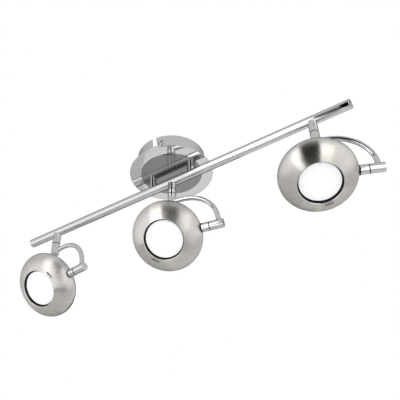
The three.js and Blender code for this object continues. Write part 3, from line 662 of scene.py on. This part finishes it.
def post_nut(side):
    """A hexagon nut with both faces chamfered by a cone."""
    low, high = extent("post_nut_" + side)
    place = Matrix.Translation((POSTS[side].x, 0, 0))
    corner, chamfer = (high.x - low.x) / 2, 0.8 * MM
    outline = [
        (STEM_RADIUS, low.z), (corner - chamfer, low.z), (corner, low.z + chamfer / 2),
        (corner, high.z - chamfer / 2), (corner - chamfer, high.z), (STEM_RADIUS, high.z),
    ]
    nut = lathe(f"post_nut_{side}_hex", outline, place, closed=True)
    flat, across, outward = corner * cos(pi / HEX_SIDES), 8 * MM, 5 * MM
    block_low = Vector((flat, -across, low.z - MM))
    block_high = Vector((flat + outward, across, high.z + MM))
    turned = [place @ Matrix.Rotation(tau * (i + 0.5) / HEX_SIDES, 4, "Z") for i in range(HEX_SIDES)]
    flats = [rounded_box("cutter", block_low, block_high, FIT, place=turn) for turn in turned]
    fit(carve(nut, *flats), zinc, "zinc_steel", "base", "post_nut_" + side)


def terminal_screws():
    """Slotted brass clamp screws in the terminal block's three wells."""
    centre, top = middle("terminal_block"), extent("terminal_block")[1].z
    spacing, sunk, radius, length = 9 * MM, 2.2 * MM, 1.6 * MM, 5 * MM
    outline = rounded([(0, -length, 0), (radius, -length, 0), (radius, 0, 0.3 * MM), (0, 0, 0)])
    slot_corner = Vector((3 * MM, 0.3 * MM, 0.8 * MM))
    for number, step in enumerate((-1, 0, 1), 1):
        place = Matrix.Translation((centre.x + step * spacing, centre.y, top - sunk))
        screw = lathe(f"terminal_screw_{number}", outline, place, segments=SMALL_TURN)
        turned = place @ Matrix.Rotation(0.6 * number, 4, "Z")
        slot = rounded_box("cutter", -slot_corner, slot_corner, FIT, place=turned)
        fit(carve(screw, slot), brass, "zinc_steel", "base")


def driver_screw(side, place):
    """A lid screw with a cross recess, sunk below the place's origin."""
    radius, bottom, rim, crown = 1.8 * MM, -1.5 * MM, -0.5 * MM, -0.35 * MM
    outline = rounded([(0, bottom, 0), (radius, bottom, 0), (radius, rim, 0.4 * MM), (0, crown, 0)])
    screw = lathe(f"driver_screw_{side}", outline, place, segments=SMALL_TURN)
    recess = place @ Matrix.Translation((0, 0, -0.4 * MM)) @ Matrix.Rotation(0.4, 4, "Z")
    blades = crossed_blades(1.1 * MM, 0.25 * MM, 0.7 * MM, FIT, recess)
    fit(carve(screw, *blades), zinc, "zinc_steel", "base")


def driver_case():
    """The LED driver: a tray and a lid with a shadow line between them, and two lid screws."""
    low, high = extent("led_driver")
    centre, split, upright = middle("led_driver"), high.z - 3.5 * MM, 3 * MM
    tray = rounded_box("driver_tray", low, Vector((high.x, high.y, split - SEAM)), 0.4 * MM, upright)
    fit(tray, white, "white_plastic", "base", "led_driver")
    lid = rounded_box("driver_lid", Vector((low.x, low.y, split + SEAM)), high, 0.6 * MM, upright)
    wells = []
    for side, sign in zip(SIDES, (-1, 1)):
        place = Matrix.Translation((centre.x + sign * 20 * MM, centre.y, high.z))
        wells.append(cylinder_cutter(2.1 * MM, -1.6 * MM, MM, place))
        driver_screw(side, place)
    fit(carve(lid, *wells), white, "white_plastic", "base")


def canopy():
    canopy_cup()
    canopy_plate()
    canopy_inlay()
    for name in SIDE_SCREWS:
        side_screw(name)
    for side in SIDES:
        post(side)
        post_nut(side)
    refine("mounting_bracket", zinc, 0.35 * MM)
    refine("terminal_block", white, 0.3 * MM)
    terminal_screws()
    driver_case()


# ---- Bar -------------------------------------------------

TUBE_END = BAR_HIGH.x + SEAM
TUBE_INSIDE = BAR_RADIUS - 1 * MM
PLUG_LENGTH = 8 * MM


def bar_cap(side, turn):
    """An end cap: a plug inside the tube, and a rim that covers the tube's end."""
    place = along_x(Matrix.Translation((0, 0, BAR_Z)) @ Matrix.Rotation(turn, 4, "Z"))
    plug, rim, end = TUBE_INSIDE - 2 * SEAM, TUBE_END + SEAM, extent("bar_cap_right")[1].x
    outline = rounded([
        (0, rim - PLUG_LENGTH, 0), (plug, rim - PLUG_LENGTH, 0.3 * MM), (plug, rim, 0),
        (BAR_RADIUS, rim, 0.15 * MM), (BAR_RADIUS, end, 0.5 * MM), (0, end, 0),
    ])
    cap = lathe(f"bar_cap_{side}_polished", outline, place)
    fit(cap, chrome, "chrome", "base", "bar_cap_" + side)


def bar():
    """The tube, its two caps and the wiring inside."""
    edge = 0.15 * MM
    outline = rounded([
        (TUBE_INSIDE, -TUBE_END, 0), (BAR_RADIUS, -TUBE_END, edge),
        (BAR_RADIUS, TUBE_END, edge), (TUBE_INSIDE, TUBE_END, 0),
    ], closed=True)
    tube = lathe("bar_tube_polished", outline, BAR_LINE, closed=True)
    fit(tube, chrome, "chrome", "base", "bar_tube")
    for side, turn in zip(SIDES, (pi, 0)):
        bar_cap(side, turn)
    refine("bar_wiring", cable)


# ---- Knuckles, arms and hubs -----------------------------

PIN_BORE = 3.1 * MM
COUNTERBORE = 4.4 * MM
END_WALL = 1.5 * MM
PIN_SHELF = 4.6 * MM
SEAM_STEP = 0.45 * MM
SEAM_DEPTH = 0.5 * MM
WASHER_SUNK = 0.12 * MM
GRUB_RADIUS = 1.0 * MM
GRUB_DROP = 4.6 * MM
GRUB_TURN = radians(-62)
GRUB_SEGMENTS = 32
ARM_RADIUS = half_width("arm_middle", arm_place("middle"))
ARM_STRAIGHT = 14.5 * MM
BEND_STEPS = 48


def seam_washer(name, place, low, high, radius, body):
    """The black washer between two turning halves, wider at its rim, where it shows as a dark line."""
    low, high = low + FIT, high - FIT
    neck, rim = radius - SEAM_DEPTH + FIT, radius - WASHER_SUNK
    rim_low, rim_high = low - SEAM_STEP + FIT, high + SEAM_STEP - FIT
    ring = rounded([
        (PIN_BORE, low, 0), (neck, low, 0), (neck, rim_low, 0), (rim, rim_low, 0),
        (rim, rim_high, 0), (neck, rim_high, 0), (neck, high, 0), (PIN_BORE, high, 0),
    ], closed=True)
    fit(lathe(name, ring, place, closed=True), black, "black_plastic", body)


def turning_half(radius, seam, end, fillet):
    """Outline of a half that turns: closed at its end, stepped at the seam, and bored for the pin."""
    way = 1 if end > seam else -1
    step, lip = radius - SEAM_DEPTH, seam + way * SEAM_STEP
    shelf, inner_end = seam + way * PIN_SHELF, end - way * END_WALL
    return rounded([
        (PIN_BORE, seam, 0), (step, seam, 0), (step, lip, 0), (radius, lip, 0),
        (radius, end, fillet), (0, end, 0), (0, inner_end, 0), (COUNTERBORE, inner_end, 0),
        (COUNTERBORE, shelf, 0), (PIN_BORE, shelf, 0), (PIN_BORE, seam, 0),
    ])


def grub_screw(name, radius, place):
    """A headless screw with a hexagon socket, sunk in the knuckle's side."""
    bottom, top, socket_floor = radius - 1.55 * MM, radius - 0.6 * MM, radius - 1.2 * MM
    outline = rounded([
        (0, bottom, 0), (GRUB_RADIUS, bottom, 0), (GRUB_RADIUS, top, 0.15 * MM), (0, top, 0),
    ])
    grub = lathe(f"grub_screw_{name}", outline, place, segments=GRUB_SEGMENTS)
    socket = cylinder_cutter(0.5 * MM, socket_floor, radius, place, HEX_SIDES)
    fit(carve(grub, socket), zinc, "zinc_steel", "base")


def knuckle(name):
    """The fixed stub saddled to the bar, its grub screw, and the turning half below the seam."""
    centre = Matrix.Translation(arm_place(name).translation)
    base_low, base_high = extent("knuckle_base_" + name, centre)
    radius, step, lip = base_high.x, base_high.x - SEAM_DEPTH, base_low.z + SEAM_STEP
    outline = rounded([
        (PIN_BORE, base_low.z, 0), (step, base_low.z, 0), (step, lip, 0), (radius, lip, 0),
        (radius, BAR_Z, 0), (PIN_BORE, BAR_Z, 0),
    ], closed=True)
    stub = lathe(f"knuckle_stub_{name}", outline, centre, closed=True)
    grub_height = Matrix.Translation((0, 0, BAR_Z - BAR_RADIUS - GRUB_DROP))
    grub_place = along_x(centre @ grub_height @ Matrix.Rotation(GRUB_TURN, 4, "Z"))
    grub_hole = cylinder_cutter(
        GRUB_RADIUS + SEAM, radius - 1.6 * MM, radius + MM, grub_place, GRUB_SEGMENTS)
    fit(carve(stub, bar_saddle(), grub_hole), chrome, "chrome", "base", "knuckle_base_" + name)
    grub_screw(name, radius, grub_place)

    low, high = extent("knuckle_swivel_" + name, centre)
    outline = turning_half(radius, high.z, low.z, 0.7 * MM)
    turning = lathe(f"knuckle_turning_{name}", outline, centre)
    fit(turning, chrome, "chrome", "arm_unit_" + name, "knuckle_swivel_" + name)
    seam_washer(f"knuckle_seam_{name}", centre, high.z, base_low.z, radius, "base")
    refine("swivel_pin_" + name, zinc)


def arm_stations(name):
    """Points along the arm: straight out of the knuckle, a quarter circle, down into the hub."""
    high = extent("arm_" + name, arm_place(name))[1]
    top, end_x = high.z - ARM_RADIUS, high.x - ARM_RADIUS
    bend = end_x - ARM_STRAIGHT
    hub_z = joint("tilt_" + name)["pos_m"][2]
    stations = [(Vector((0, 0, top)), Vector((1, 0, 0)))]
    for i in range(BEND_STEPS + 1):
        angle = pi / 2 * i / BEND_STEPS
        point = Vector((ARM_STRAIGHT + bend * sin(angle), 0, top - bend * (1 - cos(angle))))
        stations.append((point, Vector((cos(angle), 0, -sin(angle)))))
    stations.append((Vector((end_x, 0, hub_z + MM)), Vector((0, 0, -1))))
    return stations


def hub_line(name):
    """The hub's axis: Z along the hub, away from the knuckle, from a point under the knuckle."""
    hub_z = joint("tilt_" + name)["pos_m"][2]
    return along_x(arm_place(name) @ Matrix.Translation((0, 0, hub_z)))


def arm_bow(name):
    """The bow arm, hollowed at both ends to sit on the knuckle and on the hub."""
    place, line, spare = arm_place(name), hub_line(name), 10 * MM
    knuckle_radius = extent("knuckle_base_" + name, Matrix.Translation(place.translation))[1].x
    hub_low, hub_high = extent("hub_outer_" + name, line)
    bow = sweep(f"arm_bow_{name}", arm_stations(name), ARM_RADIUS, place)
    round_knuckle = cylinder_cutter(knuckle_radius + FIT, -THROUGH, 0, place, ROUND_TURN)
    round_hub = cylinder_cutter(
        hub_high.x + FIT, hub_low.z - spare, hub_high.z + spare, line, ROUND_TURN)
    carve(bow, round_knuckle, round_hub)
    fit(bow, chrome, "chrome", "arm_unit_" + name, "arm_" + name)


def hub(name):
    """The hub's outer and inner half, the seam between them, and the washer against the head."""
    line, arm_unit, head_unit = hub_line(name), "arm_unit_" + name, "head_unit_" + name
    low, high = extent("hub_outer_" + name, line)
    seam, radius = low.z, high.x
    outer = lathe(f"hub_outer_{name}_polished", turning_half(radius, seam, high.z, 0.55 * MM), line)
    fit(outer, chrome, "chrome", arm_unit, "hub_outer_" + name)

    low, high = extent("hub_inner_" + name, line)
    bore, step, lip = PIN_BORE + 2 * SEAM, radius - SEAM_DEPTH, high.z - SEAM_STEP
    outline = rounded([
        (bore, low.z, 0), (radius, low.z, 0.2 * MM), (radius, lip, 0),
        (step, lip, 0), (step, high.z, 0), (bore, high.z, 0),
    ], closed=True)
    inner = lathe(f"hub_inner_{name}_polished", outline, line, closed=True)
    fit(inner, chrome, "chrome", head_unit, "hub_inner_" + name)
    seam_washer(f"hub_seam_{name}", line, high.z, seam, radius, arm_unit)

    low, high = extent("hub_washer_" + name, line)
    top = high.z + SEAM
    outline = rounded([
        (bore, low.z, 0), (high.x, low.z, 0), (high.x, top, 0.35 * MM), (bore, top, 0),
    ], closed=True)
    washer = lathe(f"hub_washer_{name}_saddled", outline, line, closed=True)
    carve(washer, shell_envelope(name))
    fit(washer, black, "black_plastic", head_unit, "hub_washer_" + name)
    refine("tilt_pin_" + name, zinc)


# ---- Heads -----------------------------------------------

FRONT_DEPTH = FRONT_TOP / sqrt(1 - (OPENING_RADIUS / SHELL_RADIUS) ** 2)
BACK_DEPTH = -extent("head_back_middle", head_place("middle"))[0].z
SHELL_WALL = 1.2 * MM
SHELL_INSIDE = SHELL_RADIUS - SHELL_WALL
SHELL_SEAM = 0.08 * MM
LIP_STEPS = 8
SPIGOT_RADIUS = SHELL_INSIDE - 0.9 * MM
SPIGOT_TOP = 3.5 * MM
PIN_HOLE_RADIUS = 3.3 * MM
PIN_HOLE_SPAN = (30 * MM, 55 * MM)
BESIDE_OPENING = (2.8 * MM, 5.5 * MM)
SLIT_OFFSET = 3.8 * MM
SLIT_HALF_LENGTH = 5.5 * MM
SLIT_HALF_WIDTH = 0.8 * MM
SLIT_TIP = 0.08 * MM
SLIT_SQUARENESS = 8
SLIT_STEPS = 16
SLIT_HEIGHTS = (8 * MM, 24 * MM)
LENS_CROWN = 0.6 * MM
LENS_STEPS = 16
BEZEL_SHEET = 0.8 * MM
BEZEL_FLOOR = 1.5 * MM
BEZEL_FLANGE = OPENING_RADIUS + 6 * MM


def ellipse(half_width, depth, first, last, steps):
    """Points of an ellipse from station first to last, where 0 is the rim and 1 the crown."""
    angles = [pi / 2 * (first + (last - first) * i / steps) for i in range(steps + 1)]
    return [(half_width * cos(angle), depth * sin(angle)) for angle in angles]


def station_at(radius, half_width):
    return acos(radius / half_width) / (pi / 2)


def shell_envelope(name):
    """The outside of both shells as one cutter."""
    front = ellipse(SHELL_RADIUS + FIT, FRONT_DEPTH + FIT, 0, 1, 24)
    back = ellipse(SHELL_RADIUS + FIT, -(BACK_DEPTH + FIT), 1, 0, 24)
    outline = [(0, back[0][1]), *back[1:-1], *front[:-1], (0, front[-1][1])]
    return lathe("cutter", outline, head_place(name))


def pin_cutter(name):
    return cylinder_cutter(PIN_HOLE_RADIUS, *PIN_HOLE_SPAN, along_x(head_place(name)))


def slit_angle(name):
    """Where round the opening the slit lies: the middle of the cut in the CAD front shell."""
    local = seen_from(head_place(name), "head_front_" + name)
    distance = from_axis(local) - OPENING_RADIUS
    near, far = BESIDE_OPENING
    cut = local[(distance > near) & (distance < far) & (local[:, 2] > FRONT_TOP / 2)]
    return atan2(float(cut[:, 1].mean()), float(cut[:, 0].mean()))


def slit_cutter(name):
    """A narrow curved slot with rounded ends that follows the opening's edge."""
    angle, radius = slit_angle(name), OPENING_RADIUS + SLIT_OFFSET
    half_turn, (bottom, top) = SLIT_HALF_LENGTH / radius, SLIT_HEIGHTS
    mesh = bmesh.new()
    loops = []
    for i in range(SLIT_STEPS + 1):
        along = 2 * i / SLIT_STEPS - 1
        turn = angle + half_turn * along
        half = max(SLIT_HALF_WIDTH * sqrt(1 - along ** SLIT_SQUARENESS), SLIT_TIP)
        near, far = radius - half, radius + half
        corners = ((near, bottom), (far, bottom), (far, top), (near, top))
        loops.append([mesh.verts.new((r * cos(turn), r * sin(turn), height)) for r, height in corners])
    for a, b in zip(loops, loops[1:]):
        for i in range(4):
            j = (i + 1) % 4
            mesh.faces.new((a[i], a[j], b[j], b[i]))
    mesh.faces.new(loops[0])
    mesh.faces.new(loops[-1])
    return new_piece("cutter", mesh, head_place(name))


def front_shell(name):
    """The brushed dome: an ellipse from the rim to a rolled lip round the opening."""
    lip_at = OPENING_RADIUS + SHELL_WALL / 2
    outer = ellipse(SHELL_RADIUS, FRONT_DEPTH, 0, station_at(lip_at, SHELL_RADIUS), 40)
    inner = ellipse(SHELL_INSIDE, FRONT_DEPTH - SHELL_WALL, 0, station_at(lip_at, SHELL_INSIDE), 20)
    outer[0] = (SHELL_RADIUS, SHELL_SEAM)
    inner[0] = (SHELL_INSIDE, SHELL_SEAM)
    top, bottom = Vector(outer[-1]), Vector(inner[-1])
    centre, reach = (top + bottom) / 2, (top - bottom).length / 2
    first = atan2(top.y - centre.y, top.x - centre.x)
    turns = [first + pi * i / LIP_STEPS for i in range(1, LIP_STEPS)]
    lip = [(centre.x + reach * cos(turn), centre.y + reach * sin(turn)) for turn in turns]
    outline = [*outer, *lip, *reversed(inner)]
    shell = lathe(f"head_front_{name}_brushed", outline, head_place(name), closed=True, segments=FINE_TURN)
    carve(shell, pin_cutter(name), slit_cutter(name))
    fit(shell, nickel, "satin_nickel", "head_unit_" + name, "head_front_" + name)


def back_shell(name):
    """The chrome back, with the spigot that the front shell fits over."""
    inside, inside_depth = SPIGOT_RADIUS - SHELL_WALL, SHELL_WALL - BACK_DEPTH
    outer = ellipse(SHELL_RADIUS, -BACK_DEPTH, 0, 1, 48)
    outer[0] = (SHELL_RADIUS, -SHELL_SEAM)
    outer[-1] = (0, -BACK_DEPTH)
    inner = ellipse(inside, inside_depth, 1, 0, 24)
    inner[0] = (0, inside_depth)
    spigot = [(inside, SPIGOT_TOP), (SPIGOT_RADIUS, SPIGOT_TOP), (SPIGOT_RADIUS, -SHELL_SEAM)]
    outline = [*inner, *spigot, *outer]
    shell = lathe(f"head_back_{name}_polished", outline, head_place(name), segments=FINE_TURN)
    carve(shell, pin_cutter(name))
    fit(shell, chrome, "chrome", "head_unit_" + name, "head_back_" + name)


def lens(name):
    """The opal lens: a disc with a slightly domed face, a little smaller than its seat."""
    place = head_place(name)
    low, high = extent("lens_" + name, place)
    radius, shoulder = high.x - 0.4 * MM, high.z - LENS_CROWN
    shares = [1 - i / LENS_STEPS for i in range(1, LENS_STEPS + 1)]
    dome = [(radius * share, high.z - LENS_CROWN * share ** 2) for share in shares]
    edge = rounded([
        (0, low.z, 0), (radius, low.z, 0.3 * MM), (radius, shoulder, 0.4 * MM), (*dome[0], 0),
    ])
    piece = lathe(f"lens_{name}_opal", [*edge[:-1], *dome], place)
    fit(piece, opal, "diffuser", "head_unit_" + name, "lens_" + name)


def under_shell(radius):
    """How high a part can reach at this radius below the front shell's inside."""
    return (FRONT_DEPTH - SHELL_WALL) * sqrt(1 - (radius / SHELL_INSIDE) ** 2) - 2 * SEAM


def bezel(name):
    """The black ring that holds the lens, with a flange that lies behind the slit."""
    place = head_place(name)
    low, high = extent("lens_bezel_" + name, place)
    outer, inner, bore = high.x, OPENING_RADIUS + 3 * SEAM, radii("lens_bezel_" + name, place)[0]
    floor_top = low.z + BEZEL_FLOOR
    outline = rounded([
        (bore, low.z, 0.2 * MM), (outer, low.z, 0.2 * MM), (outer, under_shell(outer) - BEZEL_SHEET, 0),
        (BEZEL_FLANGE, under_shell(BEZEL_FLANGE) - BEZEL_SHEET, 0),
        (BEZEL_FLANGE, under_shell(BEZEL_FLANGE), 0), (inner, under_shell(inner), 0),
        (inner, floor_top, 0.3 * MM), (bore, floor_top, 0.2 * MM),
    ], closed=True)
    ring = lathe(f"lens_bezel_{name}_ring", outline, place, closed=True, segments=FINE_TURN)
    fit(ring, black, "black_plastic", "head_unit_" + name, "lens_bezel_" + name)


def head(name):
    front_shell(name)
    back_shell(name)
    lens(name)
    bezel(name)
    refine("led_board_" + name, board_mask, 0.1 * MM)
    refine("heat_sink_" + name, aluminium, 0.2 * MM)


# ---- Studio and camera -----------------------------------

ROOM_ABOVE = 0.58
ROOM_BELOW = 0.74
BLACK = 0.0
FLOOR_Z = -1.6
FLOOR_RADIUS = 6.0
ON_FLOOR = FLOOR_Z + 0.02


def plain(name, color, glow=0.0):
    """A plain surface for the studio: diffuse, and evenly bright where glow is above 0."""
    material = bpy.data.materials.new(name)
    material.use_nodes = True
    shader = material.node_tree.nodes["Principled BSDF"]
    shader.inputs["Base Color"].default_value = (*color, 1)
    shader.inputs["Roughness"].default_value = 0.9
    shader.inputs["Specular IOR Level"].default_value = 0.0
    shader.inputs["Emission Color"].default_value = (1, 1, 1, 1)
    shader.inputs["Emission Strength"].default_value = glow
    return material


def card(name, glow, **place):
    """A flat studio card, seen only in reflections: an even glow, or black.

    Two of x, y and z are its (low, high) reach, and the third is where it stands.
    """
    first, second = (axis for axis in "xyz" if isinstance(place[axis], tuple))
    mesh = bmesh.new()
    corners = []
    for i, j in ((0, 0), (1, 0), (1, 1), (0, 1)):
        corner = place | {first: place[first][i], second: place[second][j]}
        corners.append(mesh.verts.new((corner["x"], corner["y"], corner["z"])))
    mesh.faces.new(corners)
    piece = new_piece(name, mesh)
    piece.data.materials.append(plain(name, (0.0, 0.0, 0.0), glow))
    piece.visible_camera = False
    piece.visible_shadow = False


def floor():
    mesh = bmesh.new()
    bmesh.ops.create_circle(mesh, cap_ends=True, segments=96, radius=FLOOR_RADIUS)
    piece = new_piece("studio_floor", mesh, Matrix.Translation((0, 0, FLOOR_Z)))
    piece.data.materials.append(plain("studio_floor", (0.78, 0.78, 0.77)))


def room():
    """Even soft light, a little brighter below, and a white background for the camera."""
    world = bpy.data.worlds.new("studio")
    bpy.context.scene.world = world
    world.use_nodes = True
    tree = world.node_tree
    background = tree.nodes["Background"]
    seen = add(tree, "LightPath").outputs["Is Camera Ray"]
    direction = add(tree, "TexCoord").outputs["Generated"]
    height = add(tree, "SeparateXYZ", {"Vector": direction}).outputs["Z"]
    upwards = ranged(tree, height, 0.0, 1.0, 0.2, 0.55)
    room_light = tinted(tree, upwards, (ROOM_BELOW,) * 3, (ROOM_ABOVE,) * 3)
    shown = add(tree, "Mix", data_type="RGBA")
    tree.links.new(seen, shown.inputs["Factor"])
    tree.links.new(room_light, shown.inputs["A"])
    shown.inputs["B"].default_value = (1, 1, 1, 1)
    tree.links.new(shown.outputs["Result"], background.inputs["Color"])


def studio():
    """The floor, the room's light, and cards for the polished and brushed metal to reflect."""
    room()
    floor()
    card("card_dark_front", BLACK, x=(0.13, 0.74), y=-0.82, z=(-1.55, 0.42))
    card("card_dark_low", BLACK, x=(0.05, 0.13), y=-0.82, z=(-1.55, -0.42))
    card("card_dark_small", BLACK, x=(0.065, 0.13), y=-0.81, z=(-0.25, 0.1))
    card("card_dark_floor", BLACK, x=(0.12, 0.65), y=(-0.8, -0.2), z=ON_FLOOR)
    card("card_floor_right", 0.88, x=(1.0, 3.2), y=(-0.8, 0.7), z=ON_FLOOR)
    card("card_side_right", 0.95, x=2.8, y=(-0.8, 1.6), z=(ON_FLOOR, 1.6))
    card("card_far_left", 1.0, x=(-2.4, -0.34), y=-0.87, z=(-1.15, 0.15))
    card("card_left", 1.8, x=(-0.34, 0.05), y=-0.87, z=(-0.45, 0.30))
    card("card_left_low", 1.8, x=(-0.34, -0.01), y=-0.87, z=(-1.4, -0.45))
    card("card_right", 1.6, x=(0.79, 1.9), y=-0.8, z=(-1.5, 0.15))
    card("card_right_far", 1.0, x=(1.9, 2.8), y=-0.8, z=(-1.5, 0.4))
    card("card_gap_left", BLACK, x=(-2.2, 0.13), y=-0.86, z=(0.31, 0.39))
    card("card_gap_low", BLACK, x=(-2.4, -0.34), y=-0.86, z=(-1.28, -1.18))
    card("card_gap_right", BLACK, x=(0.72, 1.9), y=-0.79, z=(0.31, 0.39))
    card("card_dark_back", 0.07, x=(-0.9, -0.25), y=1.1, z=(-0.55, 0.55))
    card("card_far_back", 0.40, x=(-3.2, -0.95), y=1.25, z=(-1.3, 0.7))
    card("card_low_back", 0.74, x=(-0.95, 0.9), y=1.2, z=(-1.5, -0.6))


VIEW_AZIMUTH = radians(29.81)
VIEW_ELEVATION = radians(-38.29)
VIEW_ROLL = radians(-3.06)
VIEW_DISTANCE = 0.71338
VIEW_TARGET = Vector((0.04128, 0, -0.09057))
SENSOR = 36.0
LENS = 51.99


def camera():
    """The camera looks up at the bar from its right front."""
    level = cos(VIEW_ELEVATION)
    back = Vector((sin(VIEW_AZIMUTH) * level, -cos(VIEW_AZIMUTH) * level, sin(VIEW_ELEVATION)))
    right = (-back).cross(Vector((0, 0, 1))).normalized()
    turned = Matrix((right, back.cross(right), back)).transposed()
    data = bpy.data.cameras.new("camera")
    data.sensor_width = SENSOR
    data.lens = LENS
    data.clip_start = 0.01
    data.clip_end = 50
    piece = bpy.data.objects.new("camera", data)
    bpy.context.scene.collection.objects.link(piece)
    place = Matrix.Translation(VIEW_TARGET + back * VIEW_DISTANCE)
    piece.matrix_world = place @ turned.to_4x4() @ Matrix.Rotation(VIEW_ROLL, 4, "Z")
    bpy.context.scene.camera = piece


# ---- Making it -------------------------------------------

camera()
studio()
canopy()
bar()
for head_name in HEADS:
    knuckle(head_name)
    arm_bow(head_name)
    hub(head_name)
    head(head_name)
bpy.context.scene.view_settings.view_transform = "Standard"
